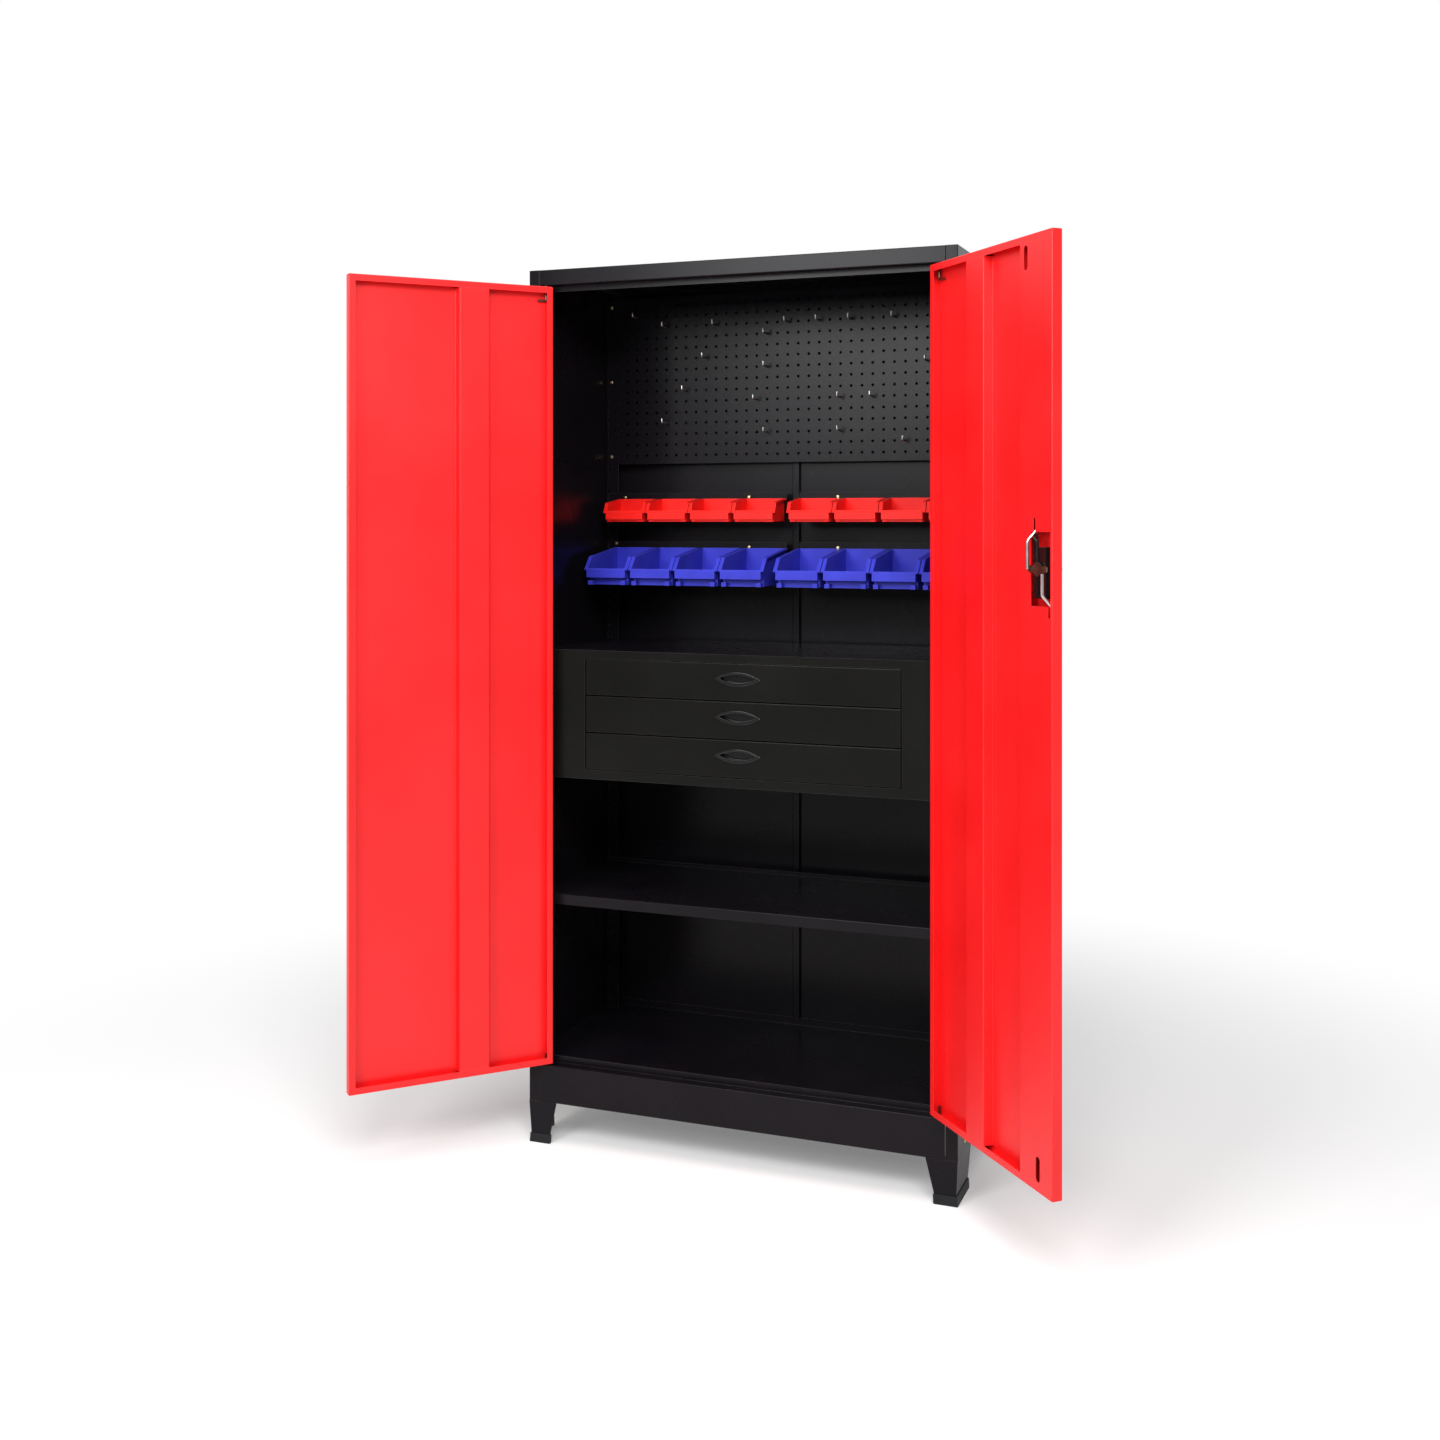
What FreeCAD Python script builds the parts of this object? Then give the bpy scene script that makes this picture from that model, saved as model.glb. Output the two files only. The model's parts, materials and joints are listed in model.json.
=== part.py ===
import FreeCAD, Part
import math
import os

# Tall two-door steel tool cabinet: folded carcass on four legs, perforated tool panel, rows of
# hanging bins, a three-drawer unit, a shelf and a lock with two rods in the right door.
# Millimetres. Origin on the floor under the middle of the carcass, X to the right seen from the
# front, Y towards the back, Z up. The doors stand open, as they do in use.

V = FreeCAD.Vector

# Overall size of the carcass
WIDTH = 900.0
DEPTH = 400.0
HEIGHT = 1800.0

# Sheet metal and clearances
SHEET = 1.0
HEAVY_SHEET = 1.2
BEND = 0.8
SEAM = 0.3
CLEARANCE = 0.5
OVERRUN = 5.0

# Side panels, fascia, plinth and floor
POST_FACE = 24.0
REAR_FLANGE = 20.0
FASCIA_HEIGHT = 32.0
STOP_LIP = 11.0
TOP_REAR_FLANGE = 20.0
SKIRT_HEIGHT = 77.0
SKIRT_RETURN = 18.0
FLOOR_STEP = 14.0
FLOOR_FLANGE = 26.0
FLOOR_REAR_LIP = 16.0
CENTRE_POST_WIDTH = 16.0
CENTRE_POST_DEPTH = 8.0

# Legs and feet
LEG_HEIGHT = 85.0
LEG_SHEET = 1.5
LEG_FACE_TOP = 62.0
LEG_FACE_FOOT = 39.0
LEG_SIDE_TOP = 115.0
LEG_SIDE_FOOT = 92.0
LEG_DRAW_IN = 4.0
LEG_TONGUE = 40.0
CAP_HEIGHT = 18.0
CAP_FLOOR = 4.0
CAP_WALL = 2.0
CAP_FLARE = 2.0

# Slotted uprights in the four corners and the clips that hang in them
UPRIGHT_FACE = 30.0
UPRIGHT_SIDE = 25.0
SLOT_PITCH = 25.0
SLOT_WIDTH = 4.0
SLOT_HEIGHT = 12.0
SLOT_FROM_WALL = 6.5
CLIP_WIDTH = 14.0
CLIP_DROP = 18.0
CLIP_REACH = 16.0

# Perforated panel, its hooks and the fixing screws
PEG_STANDOFF = 27.0
PEG_TOP_GAP = 15.0
PEG_HEIGHT = 374.0
PEG_SIDE_GAP = 7.0
PEG_RETURN = 12.0
PEG_PITCH = 24.0
PEG_EDGE = 16.0
PEG_HOLE_RADIUS = 2.9
PEG_SCREW_INSET = 17.5
PEG_SCREW_FROM_WALL = 13.5
PEG_SCREW_COUNT = 3
HOOK_WIRE_RADIUS = 2.2
HOOK_REACH = 26.0
HOOK_TIP = 9.0
HOOK_TAIL = 10.0
HOOK_TAIL_SETBACK = 4.0
HOOK_BEND = 3.0
HOOK_HOLE_SHARES = (
    (0.06, 0.93), (0.14, 0.86), (0.29, 0.86), (0.43, 0.79), (0.26, 0.64), (0.43, 0.57),
    (0.49, 0.86), (0.57, 0.86), (0.66, 0.86), (0.77, 0.86), (0.20, 0.43), (0.40, 0.36),
    (0.14, 0.21), (0.43, 0.14), (0.63, 0.36), (0.71, 0.36), (0.63, 0.14), (0.80, 0.07),
    (0.86, 0.57),
)
SCREW_HEAD_RADIUS = 4.0
SCREW_HEAD_HEIGHT = 2.2
SCREW_SHANK_RADIUS = 2.0
SCREW_SHANK_LENGTH = 4.0
SCREW_HOLE_FIT = 0.1
SCREW_ROUND_SHARE = 0.8

# Bins and the rails they hang on
BINS_PER_GROUP = 4
BIN_GAP = 2.0
RED_BIN_DROP = 79.0
RED_GROUP_FROM_MIDDLE = 12.0
RED_GROUP_FROM_WALL = 31.0
RED_BIN_DEPTH = 78.0
RED_BIN_HEIGHT = 51.0
RED_LIP_BOTTOM = 5.0
RED_LIP_TOP = 19.5
RED_NOSE_RUN = 10.0
RED_SHOULDER = 42.0
RED_LIP_OVERHANG = 8.0
BLUE_BIN_DROP = 109.0
BLUE_GROUP_FROM_MIDDLE = 10.0
BLUE_GROUP_FROM_WALL = 23.0
BLUE_BIN_DEPTH = 158.0
BLUE_BIN_HEIGHT = 79.0
BLUE_LIP_BOTTOM = 16.0
BLUE_LIP_TOP = 33.0
BLUE_NOSE_RUN = 24.0
BLUE_SHOULDER = 61.0
BLUE_LIP_OVERHANG = 20.0
BIN_WALL = 2.0
BIN_RIM = 3.0
BIN_RIM_OVERHANG = 5.5
BIN_CORNER_RADIUS = 1.5
BIN_FOOT_WIDTH = 10.0
BIN_FOOT_SETBACK = 4.0
BIN_FOOT_SHARE = 0.55
BIN_HOOK_WIDTH = 50.0
BIN_HOOK_DROP = 8.0
RAIL_GAP = 3.6
RAIL_LIP = 11.0
RAIL_RISE = 13.0
RAIL_FROM_MIDDLE = 15.0
RAIL_FROM_WALL = 6.0
RAIL_SCREW_FROM_MIDDLE = 102.0
RED_SCREW_FROM_WALL = 47.5
RED_SCREW_RISE = 3.0
BLUE_SCREW_FROM_WALL = 25.5
BLUE_SCREW_RISE = 1.5
BLUE_OUTER_SCREW_RISE = 8.0

# Drawer unit
BINS_TO_UNIT = 127.0
UNIT_RAIL_TOP = 16.5
UNIT_RAIL_BOTTOM = 19.0
UNIT_EDGE = 15.0
DRAWER_COUNT = 3
DRAWER_FIELD_WIDTH = 671.0
DRAWER_PITCH = 76.5
DRAWER_GAP = 1.5
DRAWER_FRONT_DEPTH = 15.0
TRAY_SIDE_HEIGHT = 54.0
TRAY_LIFT = 6.0
TRAY_REAR_GAP = 14.0
RUNNER_DEPTH = 10.0
RUNNER_HEIGHT = 20.0
RUNNER_RISE = 20.0
RUNNER_FRONT_GAP = 3.0
PULL_WIDTH = 97.0
PULL_HEIGHT = 28.0
PULL_CUP_WIDTH = 90.0
PULL_CUP_HEIGHT = 23.0
PULL_HOLLOW_WIDTH = 80.0
PULL_HOLLOW_HEIGHT = 18.0
PULL_HOLLOW_RISE = 1.0
PULL_PROUD = 2.0
PULL_DEPTH = 14.0
PULL_WALL = 1.5
PULL_RISE = 6.0
PULL_HOLE_FIT = 0.2

# Shelf
SHELF_HEIGHT_SHARE = 0.58
SHELF_EDGE = 22.0
SHELF_RETURN = 12.0
SHELF_REAR_LIP = 8.0

# Doors and hinge pins
OPEN_ANGLE = 132.0
DOOR_THICKNESS = 20.0
DOOR_STOP_GAP = 4.0
DOOR_SIDE_GAP = 2.0
DOOR_MIDDLE_GAP = 3.0
DOOR_END_GAP = 3.5
DOOR_FLANGE = 13.0
STIFFENER_FROM_HINGE = 137.0
STIFFENER_WIDTH = 62.0
STIFFENER_LEAN = 3.0
STIFFENER_BRIM = 10.0
PIN_FROM_EDGE = 10.0
PIN_SETBACK = 5.0
PIN_RADIUS = 2.5
PIN_FIT = 0.05
PIN_ENGAGEMENT = 7.0
TOP_PIN_DROP = 28.0
TOP_PIN_HANDLE = 18.0
TOP_PIN_BEND = 4.0
LOWER_PIN_RISE = 18.0
PIN_WASHER_RADIUS = 4.8

# Lock in the right door
STILE_WIDTH = 101.0
STILE_SLOT_WIDTH = 13.0
STILE_SLOT_LENGTH = 42.0
STILE_SLOT_INSET = 17.0
TOP_SLOT_FROM_FREE_EDGE = 82.0
BOTTOM_SLOT_FROM_FREE_EDGE = 44.0
LOCK_RISE = 1037.5
LOCK_FROM_FREE_EDGE = 32.0
LOCK_WINDOW_WIDTH = 60.0
LOCK_WINDOW_HEIGHT = 124.0
LOCK_WINDOW_FROM_FREE_EDGE = 5.5
LOCK_BODY_WIDTH = 42.0
LOCK_BODY_HEIGHT = 86.0
LOCK_BODY_FROM_FREE_EDGE = 6.5
LOCK_BODY_DROP = 6.0
LOCK_BODY_PROUD = 4.0
LOCK_BODY_EDGE_RADIUS = 2.0
LOCK_NECK_WIDTH = 30.0
LOCK_NECK_HEIGHT = 70.0
LOCK_PLATE_WIDTH = 46.0
LOCK_PLATE_HEIGHT = 150.0
LOCK_PLATE_THICKNESS = 5.0
SPINDLE_RADIUS = 5.0
SPINDLE_FIT = 0.05
LOCK_STRIP_WIDTH = 14.0
LOCK_STRIP_HEIGHT = 107.0
LOCK_STRIP_THICKNESS = 1.5
LOCK_STRIP_OFFSET = 8.5
LOCK_STRIP_RISE = 6.5
LOCK_STRIP_EYE_RADIUS = 3.0
HANDLE_REACH = 85.0
HANDLE_WIDTH = 18.0
HANDLE_THICKNESS = 7.0
HANDLE_ROUND_SHARE = 0.33
HANDLE_HUB_RADIUS = 12.0
KEY_RADIUS = 7.0
KEY_LENGTH = 5.0
KEY_PROUD = 0.4
KEY_SLOT_LENGTH = 8.0
KEY_SLOT_WIDTH = 1.6
KEY_SLOT_DEPTH = 3.0
CAM_EAR_RADIUS = 22.5
CAM_EAR_WIDTH = 12.0
CAM_HUB_RADIUS = 12.0
CAM_THICKNESS = 3.0
CAM_RIVET_RADIUS = 4.0
CAM_RIVET_HEIGHT = 0.9
ROD_RADIUS = 2.75
ROD_HOLE_FIT = 0.4
ROD_STANDOFF = 13.0
ROD_STRAIGHT = 47.0
ROD_LOW_START = 7.0
ROD_LOW_STRAIGHT = 36.0
ROD_BEND = 9.0
ROD_TRAVEL = 20.0
ROD_TIP_INSET = 0.5

# Places that follow from the sizes above
half = WIDTH / 2
front = -DEPTH / 2
rear = DEPTH / 2
wall_x = half - SHEET
post_edge = half - POST_FACE
back_face = rear - 2 * SHEET
fascia_bottom = HEIGHT - FASCIA_HEIGHT
skirt_top = LEG_HEIGHT + SKIRT_HEIGHT
floor_top = skirt_top + FLOOR_STEP
ledge_depth = DOOR_THICKNESS + DOOR_STOP_GAP
stop_y = front + ledge_depth
front_upright_y = stop_y + SHEET
rear_upright_y = back_face - PEG_STANDOFF
upright_edge = wall_x - UPRIGHT_FACE
upright_top = HEIGHT - TOP_REAR_FLANGE - SEAM
inside_front = front_upright_y + HEAVY_SHEET + CLEARANCE
inside_rear = rear_upright_y - HEAVY_SHEET - SEAM
inside_x = wall_x - HEAVY_SHEET - CLEARANCE

peg_top = HEIGHT - PEG_TOP_GAP
peg_bottom = peg_top - PEG_HEIGHT
peg_front = rear_upright_y - SHEET
peg_half = wall_x - PEG_SIDE_GAP
peg_columns = 2 * round((peg_half - PEG_EDGE) / PEG_PITCH)
peg_rows = 1 + int((PEG_HEIGHT - 2 * PEG_EDGE) / PEG_PITCH)
peg_first_x = -PEG_PITCH * (peg_columns - 1) / 2
peg_first_z = (peg_top + peg_bottom - PEG_PITCH * (peg_rows - 1)) / 2
peg_screw_x = wall_x - PEG_SCREW_FROM_WALL
peg_screw_pitch = (PEG_HEIGHT - 2 * PEG_SCREW_INSET) / (PEG_SCREW_COUNT - 1)

red_top = peg_bottom - RED_BIN_DROP
blue_top = red_top - BLUE_BIN_DROP
red_pitch = (wall_x - RED_GROUP_FROM_WALL - RED_GROUP_FROM_MIDDLE) / BINS_PER_GROUP
blue_pitch = (wall_x - BLUE_GROUP_FROM_WALL - BLUE_GROUP_FROM_MIDDLE) / BINS_PER_GROUP
rail_outer = wall_x - RAIL_FROM_WALL
rail_face = rear_upright_y - HEAVY_SHEET
rail_lip_y = rail_face - HEAVY_SHEET - RAIL_GAP
bin_back_y = rail_lip_y - SEAM

unit_top = blue_top - BLUE_BIN_HEIGHT - BINS_TO_UNIT
field_top = unit_top - UNIT_RAIL_TOP
field_bottom = field_top - DRAWER_COUNT * DRAWER_PITCH
unit_bottom = field_bottom - UNIT_RAIL_BOTTOM
field_half = DRAWER_FIELD_WIDTH / 2
runner_front = inside_front + DRAWER_FRONT_DEPTH + RUNNER_FRONT_GAP
runner_rear = inside_rear - UNIT_EDGE
tray_half = field_half - RUNNER_DEPTH - 2 * HEAVY_SHEET
shelf_top = floor_top + SHELF_HEIGHT_SHARE * (unit_bottom - floor_top)
shelf_bottom = shelf_top - SHELF_EDGE

hinge_edge = -(post_edge - DOOR_SIDE_GAP)
free_edge = -DOOR_MIDDLE_GAP / 2
door_inner = front + DOOR_THICKNESS
door_bottom = skirt_top + DOOR_END_GAP
door_top = fascia_bottom - DOOR_END_GAP
pin_x = hinge_edge + PIN_FROM_EDGE
pin_y = front + PIN_SETBACK
lock_x = free_edge - LOCK_FROM_FREE_EDGE
lock_z = door_bottom + LOCK_RISE
upper_rod_x = lock_x - CAM_EAR_RADIUS
lower_rod_x = lock_x + CAM_EAR_RADIUS
rod_inner_y = front + DOOR_THICKNESS / 2
rod_outer_y = door_inner + ROD_STANDOFF
rod_cross = rod_outer_y - rod_inner_y
cam_back = rod_outer_y - ROD_RADIUS - CAM_RIVET_HEIGHT - SEAM
lock_body_back = door_inner + LOCK_BODY_PROUD
handle_rear = front - LOCK_PLATE_THICKNESS - SEAM
handle_front = handle_rear - HANDLE_THICKNESS


# Helpers for boxes, folded sheet, pans and bent wire

def box(x0, x1, y0, y1, z0, z1):
    return Part.makeBox(x1 - x0, y1 - y0, z1 - z0, V(x0, y0, z0))


def rounded_box(x0, x1, y0, y1, z0, z1, radius):
    solid = box(x0, x1, y0, y1, z0, z1)
    return solid.makeFillet(radius, solid.Edges)


def cylinder(radius, start, end):
    axis = end.sub(start)
    return Part.makeCylinder(radius, axis.Length, start, axis)


def mirror_x(shape):
    return shape.mirror(V(0, 0, 0), V(1, 0, 0))


def mirror_y(shape):
    return shape.mirror(V(0, 0, 0), V(0, 1, 0))


def both_sides(shape):
    return [shape, mirror_x(shape)]


def cut_all(shape, tools):
    return shape.cut(Part.makeCompound(tools))


def in_plane(a, b, plane, offset):
    if plane == "xy":
        return V(a, b, offset)
    if plane == "yz":
        return V(offset, a, b)
    return V(a, offset, b)


def corner_arc(before, corner, after, radius):
    """Start, middle and end of the arc that rounds a corner."""
    to_before = before.sub(corner).normalize()
    to_after = after.sub(corner).normalize()
    half_angle = to_before.getAngle(to_after) / 2
    run = radius / math.tan(half_angle)
    bisector = to_before.add(to_after).normalize()
    centre = corner.add(bisector * (radius / math.sin(half_angle)))
    middle = centre.sub(bisector * radius)
    return corner.add(to_before * run), middle, corner.add(to_after * run)


def rounded_edges(points, radii, closed):
    """Straight and arc edges through the points, with the given radius at each."""
    count = len(points)
    arcs = []
    for index in range(count):
        inner_point = closed or 0 < index < count - 1
        if inner_point and radii[index] > 0:
            before = points[index - 1]
            after = points[(index + 1) % count]
            arcs.append(corner_arc(before, points[index], after, radii[index]))
        else:
            arcs.append((points[index],) * 3)
    edges = []
    for index in range(count):
        start, middle, end = arcs[index]
        if (end.sub(start)).Length > 0:
            edges.append(Part.Arc(start, middle, end).toShape())
        if closed or index < count - 1:
            following = arcs[(index + 1) % count][0]
            edges.append(Part.makeLine(end, following))
    return edges


def prism(outline, plane, start, end, radii=None):
    """Solid with the outline as its section, drawn in a plane and pushed from start to end."""
    points = [in_plane(a, b, plane, start) for a, b in outline]
    corner_radii = radii or [0] * len(points)
    face = Part.Face(Part.Wire(rounded_edges(points, corner_radii, True)))
    return face.extrude(in_plane(0, 0, plane, end - start))


def strip_outline(path, thickness, bend):
    """Outline of a folded strip whose thickness lies to the right of the path."""
    flat = [V(a, b, 0) for a, b in path]
    directions = [flat[i + 1].sub(flat[i]).normalize() for i in range(len(flat) - 1)]
    normals = [V(d.y, -d.x, 0) for d in directions]
    last = len(flat) - 1
    shifted = []
    path_radii = []
    shifted_radii = []
    for index, point in enumerate(flat):
        if index in (0, last):
            shifted.append(point.add(normals[min(index, last - 1)] * thickness))
            path_radii.append(0)
            shifted_radii.append(0)
            continue
        first, second = normals[index - 1], normals[index]
        spread = thickness / (1 + first.dot(second))
        shifted.append(point.add(first.add(second) * spread))
        turns_left = directions[index - 1].cross(directions[index]).z > 0
        path_radii.append(bend if turns_left else bend + thickness)
        shifted_radii.append(bend + thickness if turns_left else bend)
    outline = flat + shifted[::-1]
    return [(p.x, p.y) for p in outline], path_radii + shifted_radii[::-1]


def folded(path, plane, start, end, thickness=SHEET):
    """Folded sheet with the path as its section."""
    outline, radii = strip_outline(path, thickness, BEND)
    return prism(outline, plane, start, end, radii)


def pan(low, high, wall, opens, flange):
    """Pan of folded sheet, open on one side, with its rim turned in by the flange."""
    outer = rounded_box(low.x, high.x, low.y, high.y, low.z, high.z, BEND + wall)
    axis = "xyz".index(opens[1])
    inset = V(wall, wall, wall)
    hollow_low, hollow_high = low.add(inset), high.sub(inset)
    lip = V(flange, flange, flange)
    window_low, window_high = low.add(lip), high.sub(lip)
    if opens[0] == "+":
        window_low[axis] = high[axis] - wall - BEND
        window_high[axis] = high[axis] + OVERRUN
    else:
        window_low[axis] = low[axis] - OVERRUN
        window_high[axis] = low[axis] + wall + BEND
    hollows = []
    for a, b in ((hollow_low, hollow_high), (window_low, window_high)):
        hollows.append(box(a.x, b.x, a.y, b.y, a.z, b.z))
    return outer.cut(hollows[0]).cut(hollows[1])


def bent_rod(points, radius, bend):
    """Round rod or wire along straight runs joined by arcs."""
    path = Part.Wire(rounded_edges(points, [bend] * len(points), False))
    section = Part.Wire(Part.makeCircle(radius, points[0], points[1].sub(points[0])))
    return path.makePipeShell([section], True, True)


def frustum(low_rect, low_z, high_rect, high_z):
    """Solid between two upright-seen rectangles, each (x0, x1, y0, y1)."""
    wires = []
    for (x0, x1, y0, y1), z in ((low_rect, low_z), (high_rect, high_z)):
        corners = [V(x0, y0, z), V(x1, y0, z), V(x1, y1, z), V(x0, y1, z), V(x0, y0, z)]
        wires.append(Part.makePolygon(corners))
    return Part.makeLoft(wires, True, True)


def eye_prism(width, height, middle_x, middle_z, y0, y1):
    """Almond-shaped solid of two arcs that meet in points at the left and right."""
    left = V(middle_x - width / 2, y0, middle_z)
    right = V(middle_x + width / 2, y0, middle_z)
    upper = Part.Arc(left, V(middle_x, y0, middle_z + height / 2), right).toShape()
    lower = Part.Arc(right, V(middle_x, y0, middle_z - height / 2), left).toShape()
    return Part.Face(Part.Wire([upper, lower])).extrude(V(0, y1 - y0, 0))


def slot_prism(width, height, middle_x, middle_z, y0, y1):
    """Upright slot with round ends."""
    side = width / 2
    reach = height / 2
    outline = [(middle_x - side, middle_z - reach), (middle_x + side, middle_z - reach),
               (middle_x + side, middle_z + reach), (middle_x - side, middle_z + reach)]
    straight = prism([(a, min(max(b, middle_z - reach + side), middle_z + reach - side))
                      for a, b in outline], "xz", y0, y1)
    ends = [cylinder(side, V(middle_x, y0, z), V(middle_x, y1, z))
            for z in (middle_z - reach + side, middle_z + reach - side)]
    return straight.fuse(ends).removeSplitter()


# Carcass

def side_panel():
    """Left side: front post, wall, rear flange and the strip that carries the edge of the top."""
    path = [(-post_edge, stop_y), (-post_edge, front), (-half, front), (-half, rear),
            (-half + REAR_FLANGE, rear)]
    wall = folded(path, "xy", LEG_HEIGHT, HEIGHT)
    cap = box(-wall_x, -post_edge - SHEET, front + SHEET, back_face, HEIGHT - SHEET, HEIGHT)
    panel = wall.fuse(cap).removeSplitter()
    return cut_all(panel, [leg_bolt_hole(y, z) for y, z in leg_bolt_places()])


def leg_bolt_places():
    """Side-on places of the bolts that hold the leg tongues, as (y, z)."""
    z = LEG_HEIGHT + LEG_TONGUE / 2
    inset = LEG_SIDE_TOP / 2
    return [(front + inset, z), (rear - inset, z)]


def leg_bolt_hole(y, z):
    radius = SCREW_SHANK_RADIUS + SCREW_HOLE_FIT
    return cylinder(radius, V(-half - OVERRUN, y, z), V(-wall_x + OVERRUN, y, z))


def top_panel():
    reach = post_edge - SEAM
    path = [(stop_y, fascia_bottom - STOP_LIP), (stop_y, fascia_bottom), (front, fascia_bottom),
            (front, HEIGHT), (back_face, HEIGHT), (back_face, HEIGHT - TOP_REAR_FLANGE)]
    panel = folded(path, "yz", -reach, reach)
    holes = [ledge_hole(x, PIN_RADIUS + PIN_FIT, pin_y, fascia_bottom) for x in (pin_x, -pin_x)]
    holes.append(ledge_hole(-upper_rod_x, ROD_RADIUS + ROD_HOLE_FIT, rod_inner_y, fascia_bottom))
    return cut_all(panel, holes)


def ledge_hole(x, radius, y, z):
    return cylinder(radius, V(x, y, z - OVERRUN), V(x, y, z + OVERRUN))


def plinth_skirt():
    reach = post_edge - SEAM
    path = [(front + SKIRT_RETURN, LEG_HEIGHT), (front, LEG_HEIGHT), (front, skirt_top),
            (stop_y, skirt_top), (stop_y, floor_top)]
    skirt = folded(path, "yz", -reach, reach)
    holes = [ledge_hole(x, PIN_RADIUS + PIN_FIT, pin_y, skirt_top) for x in (pin_x, -pin_x)]
    holes.append(ledge_hole(-lower_rod_x, ROD_RADIUS + ROD_HOLE_FIT, rod_inner_y, skirt_top))
    return cut_all(skirt, holes)


def floor_panel():
    reach = wall_x - SEAM
    lip_y = back_face - SHEET
    path = [(stop_y + SHEET, floor_top - FLOOR_FLANGE), (stop_y + SHEET, floor_top), (lip_y, floor_top),
            (lip_y, floor_top + FLOOR_REAR_LIP)]
    return folded(path, "yz", -reach, reach)


def back_panel():
    """Left half of the back, drilled for the rail screws."""
    edge = wall_x - BEND - SEAM
    panel = box(-edge, -SEAM / 2, back_face, back_face + SHEET, LEG_HEIGHT, HEIGHT)
    return cut_all(panel, [screw_hole(-x, back_face, z) for x, z in red_screws() + blue_screws()])


def back_centre_post():
    reach = CENTRE_POST_WIDTH / 2
    nose_y = back_face - CENTRE_POST_DEPTH
    path = [(-reach, back_face), (-reach, nose_y), (reach, nose_y), (reach, back_face)]
    outline, radii = strip_outline(path[::-1], SHEET, BEND)
    bottom = floor_top + FLOOR_REAR_LIP + SEAM
    return prism(outline, "xy", bottom, upright_top, radii)


def upright_slots(x_range, y_range):
    count = int((upright_top - floor_top) / SLOT_PITCH) - 1
    slots = []
    for index in range(count):
        z = floor_top + SLOT_PITCH * (index + 1)
        slots.append(box(*x_range, *y_range, z - SLOT_HEIGHT / 2, z + SLOT_HEIGHT / 2))
    return slots


def rear_upright():
    """Left rear corner strip: slotted face that the perforated panel is screwed to."""
    path = [(-wall_x, rear_upright_y + UPRIGHT_SIDE), (-wall_x, rear_upright_y),
            (-upright_edge, rear_upright_y)]
    outline, radii = strip_outline(path[::-1], HEAVY_SHEET, BEND)
    strip = prism(outline, "xy", floor_top, upright_top, radii)
    slot_x = -wall_x + SLOT_FROM_WALL
    slots = upright_slots((slot_x - SLOT_WIDTH / 2, slot_x + SLOT_WIDTH / 2),
                          (rear_upright_y - OVERRUN, rear_upright_y + OVERRUN))
    holes = [screw_hole(-peg_screw_x, rear_upright_y, z) for z in peg_screw_heights()]
    holes += [screw_hole(-x, rear_upright_y, z) for x, z in blue_screws()]
    return cut_all(strip, slots + holes)


def front_upright():
    """Left front corner strip, hidden behind the post."""
    path = [(-upright_edge, front_upright_y), (-wall_x, front_upright_y),
            (-wall_x, front_upright_y + UPRIGHT_SIDE)]
    strip = folded(path, "xy", floor_top, upright_top, HEAVY_SHEET)
    slot_y = front_upright_y + UPRIGHT_SIDE - SLOT_FROM_WALL
    slots = upright_slots((-wall_x - OVERRUN, -wall_x + OVERRUN),
                          (slot_y - SLOT_WIDTH / 2, slot_y + SLOT_WIDTH / 2))
    return cut_all(strip, slots)


def leg_block():
    """Full outer form of the front left leg."""
    foot_x = -half + LEG_DRAW_IN
    foot_y = front + LEG_DRAW_IN
    foot = (foot_x, foot_x + LEG_FACE_FOOT, foot_y, foot_y + LEG_SIDE_FOOT)
    head = (-half, -half + LEG_FACE_TOP, front, front + LEG_SIDE_TOP)
    return frustum(foot, CAP_FLOOR, head, LEG_HEIGHT), foot, head


def inside_leg(foot, head, depth, low_z):
    """Room inside the angle of the front left leg, a depth behind its outer faces."""
    rects = []
    for x0, x1, y0, y1 in (foot, head):
        rects.append((x0 + depth, x1 + OVERRUN, y0 + depth, y1 + OVERRUN))
    return frustum(rects[0], low_z, rects[1], LEG_HEIGHT)


def leg_angle():
    """Tapered angle of the front left leg, from its foot to the carcass."""
    block, foot, head = leg_block()
    return block.cut(inside_leg(foot, head, LEG_SHEET, CAP_FLOOR))


def leg():
    """Front left leg: tapered angle with a tongue inside the carcass."""
    angle = leg_angle()
    tongue = box(-wall_x, -wall_x + LEG_SHEET, front + 2 * SHEET, front + LEG_SIDE_TOP,
                 LEG_HEIGHT, LEG_HEIGHT + LEG_TONGUE)
    return angle.fuse(tongue).cut(leg_bolt_hole(*leg_bolt_places()[0]))


def foot_cap():
    """Flared shoe round the edge of the front left leg's angle."""
    foot, head = leg_block()[1:]
    rise = (CAP_HEIGHT - CAP_FLOOR) / (LEG_HEIGHT - CAP_FLOOR)
    rim = [low + rise * (high - low) for low, high in zip(foot, head)]
    outward = (-1, 1, -1, 1)
    bottom = [side + sign * (CAP_WALL + CAP_FLARE) for side, sign in zip(foot, outward)]
    top = [side + sign * CAP_WALL for side, sign in zip(rim, outward)]
    shoe = frustum(bottom, 0, top, CAP_HEIGHT).cut(leg_angle())
    return shoe.cut(inside_leg(foot, head, LEG_SHEET + CAP_WALL, -CAP_FLOOR))


def four_corners(shape):
    pair = [shape, mirror_y(shape)]
    return Part.makeCompound(pair + [mirror_x(solid) for solid in pair])


# Perforated panel, hooks and screws

def peg_screw_heights():
    return [peg_bottom + PEG_SCREW_INSET + index * peg_screw_pitch for index in range(PEG_SCREW_COUNT)]


def peg_hole_place(column, row):
    return peg_first_x + column * PEG_PITCH, peg_first_z + row * PEG_PITCH


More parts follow.
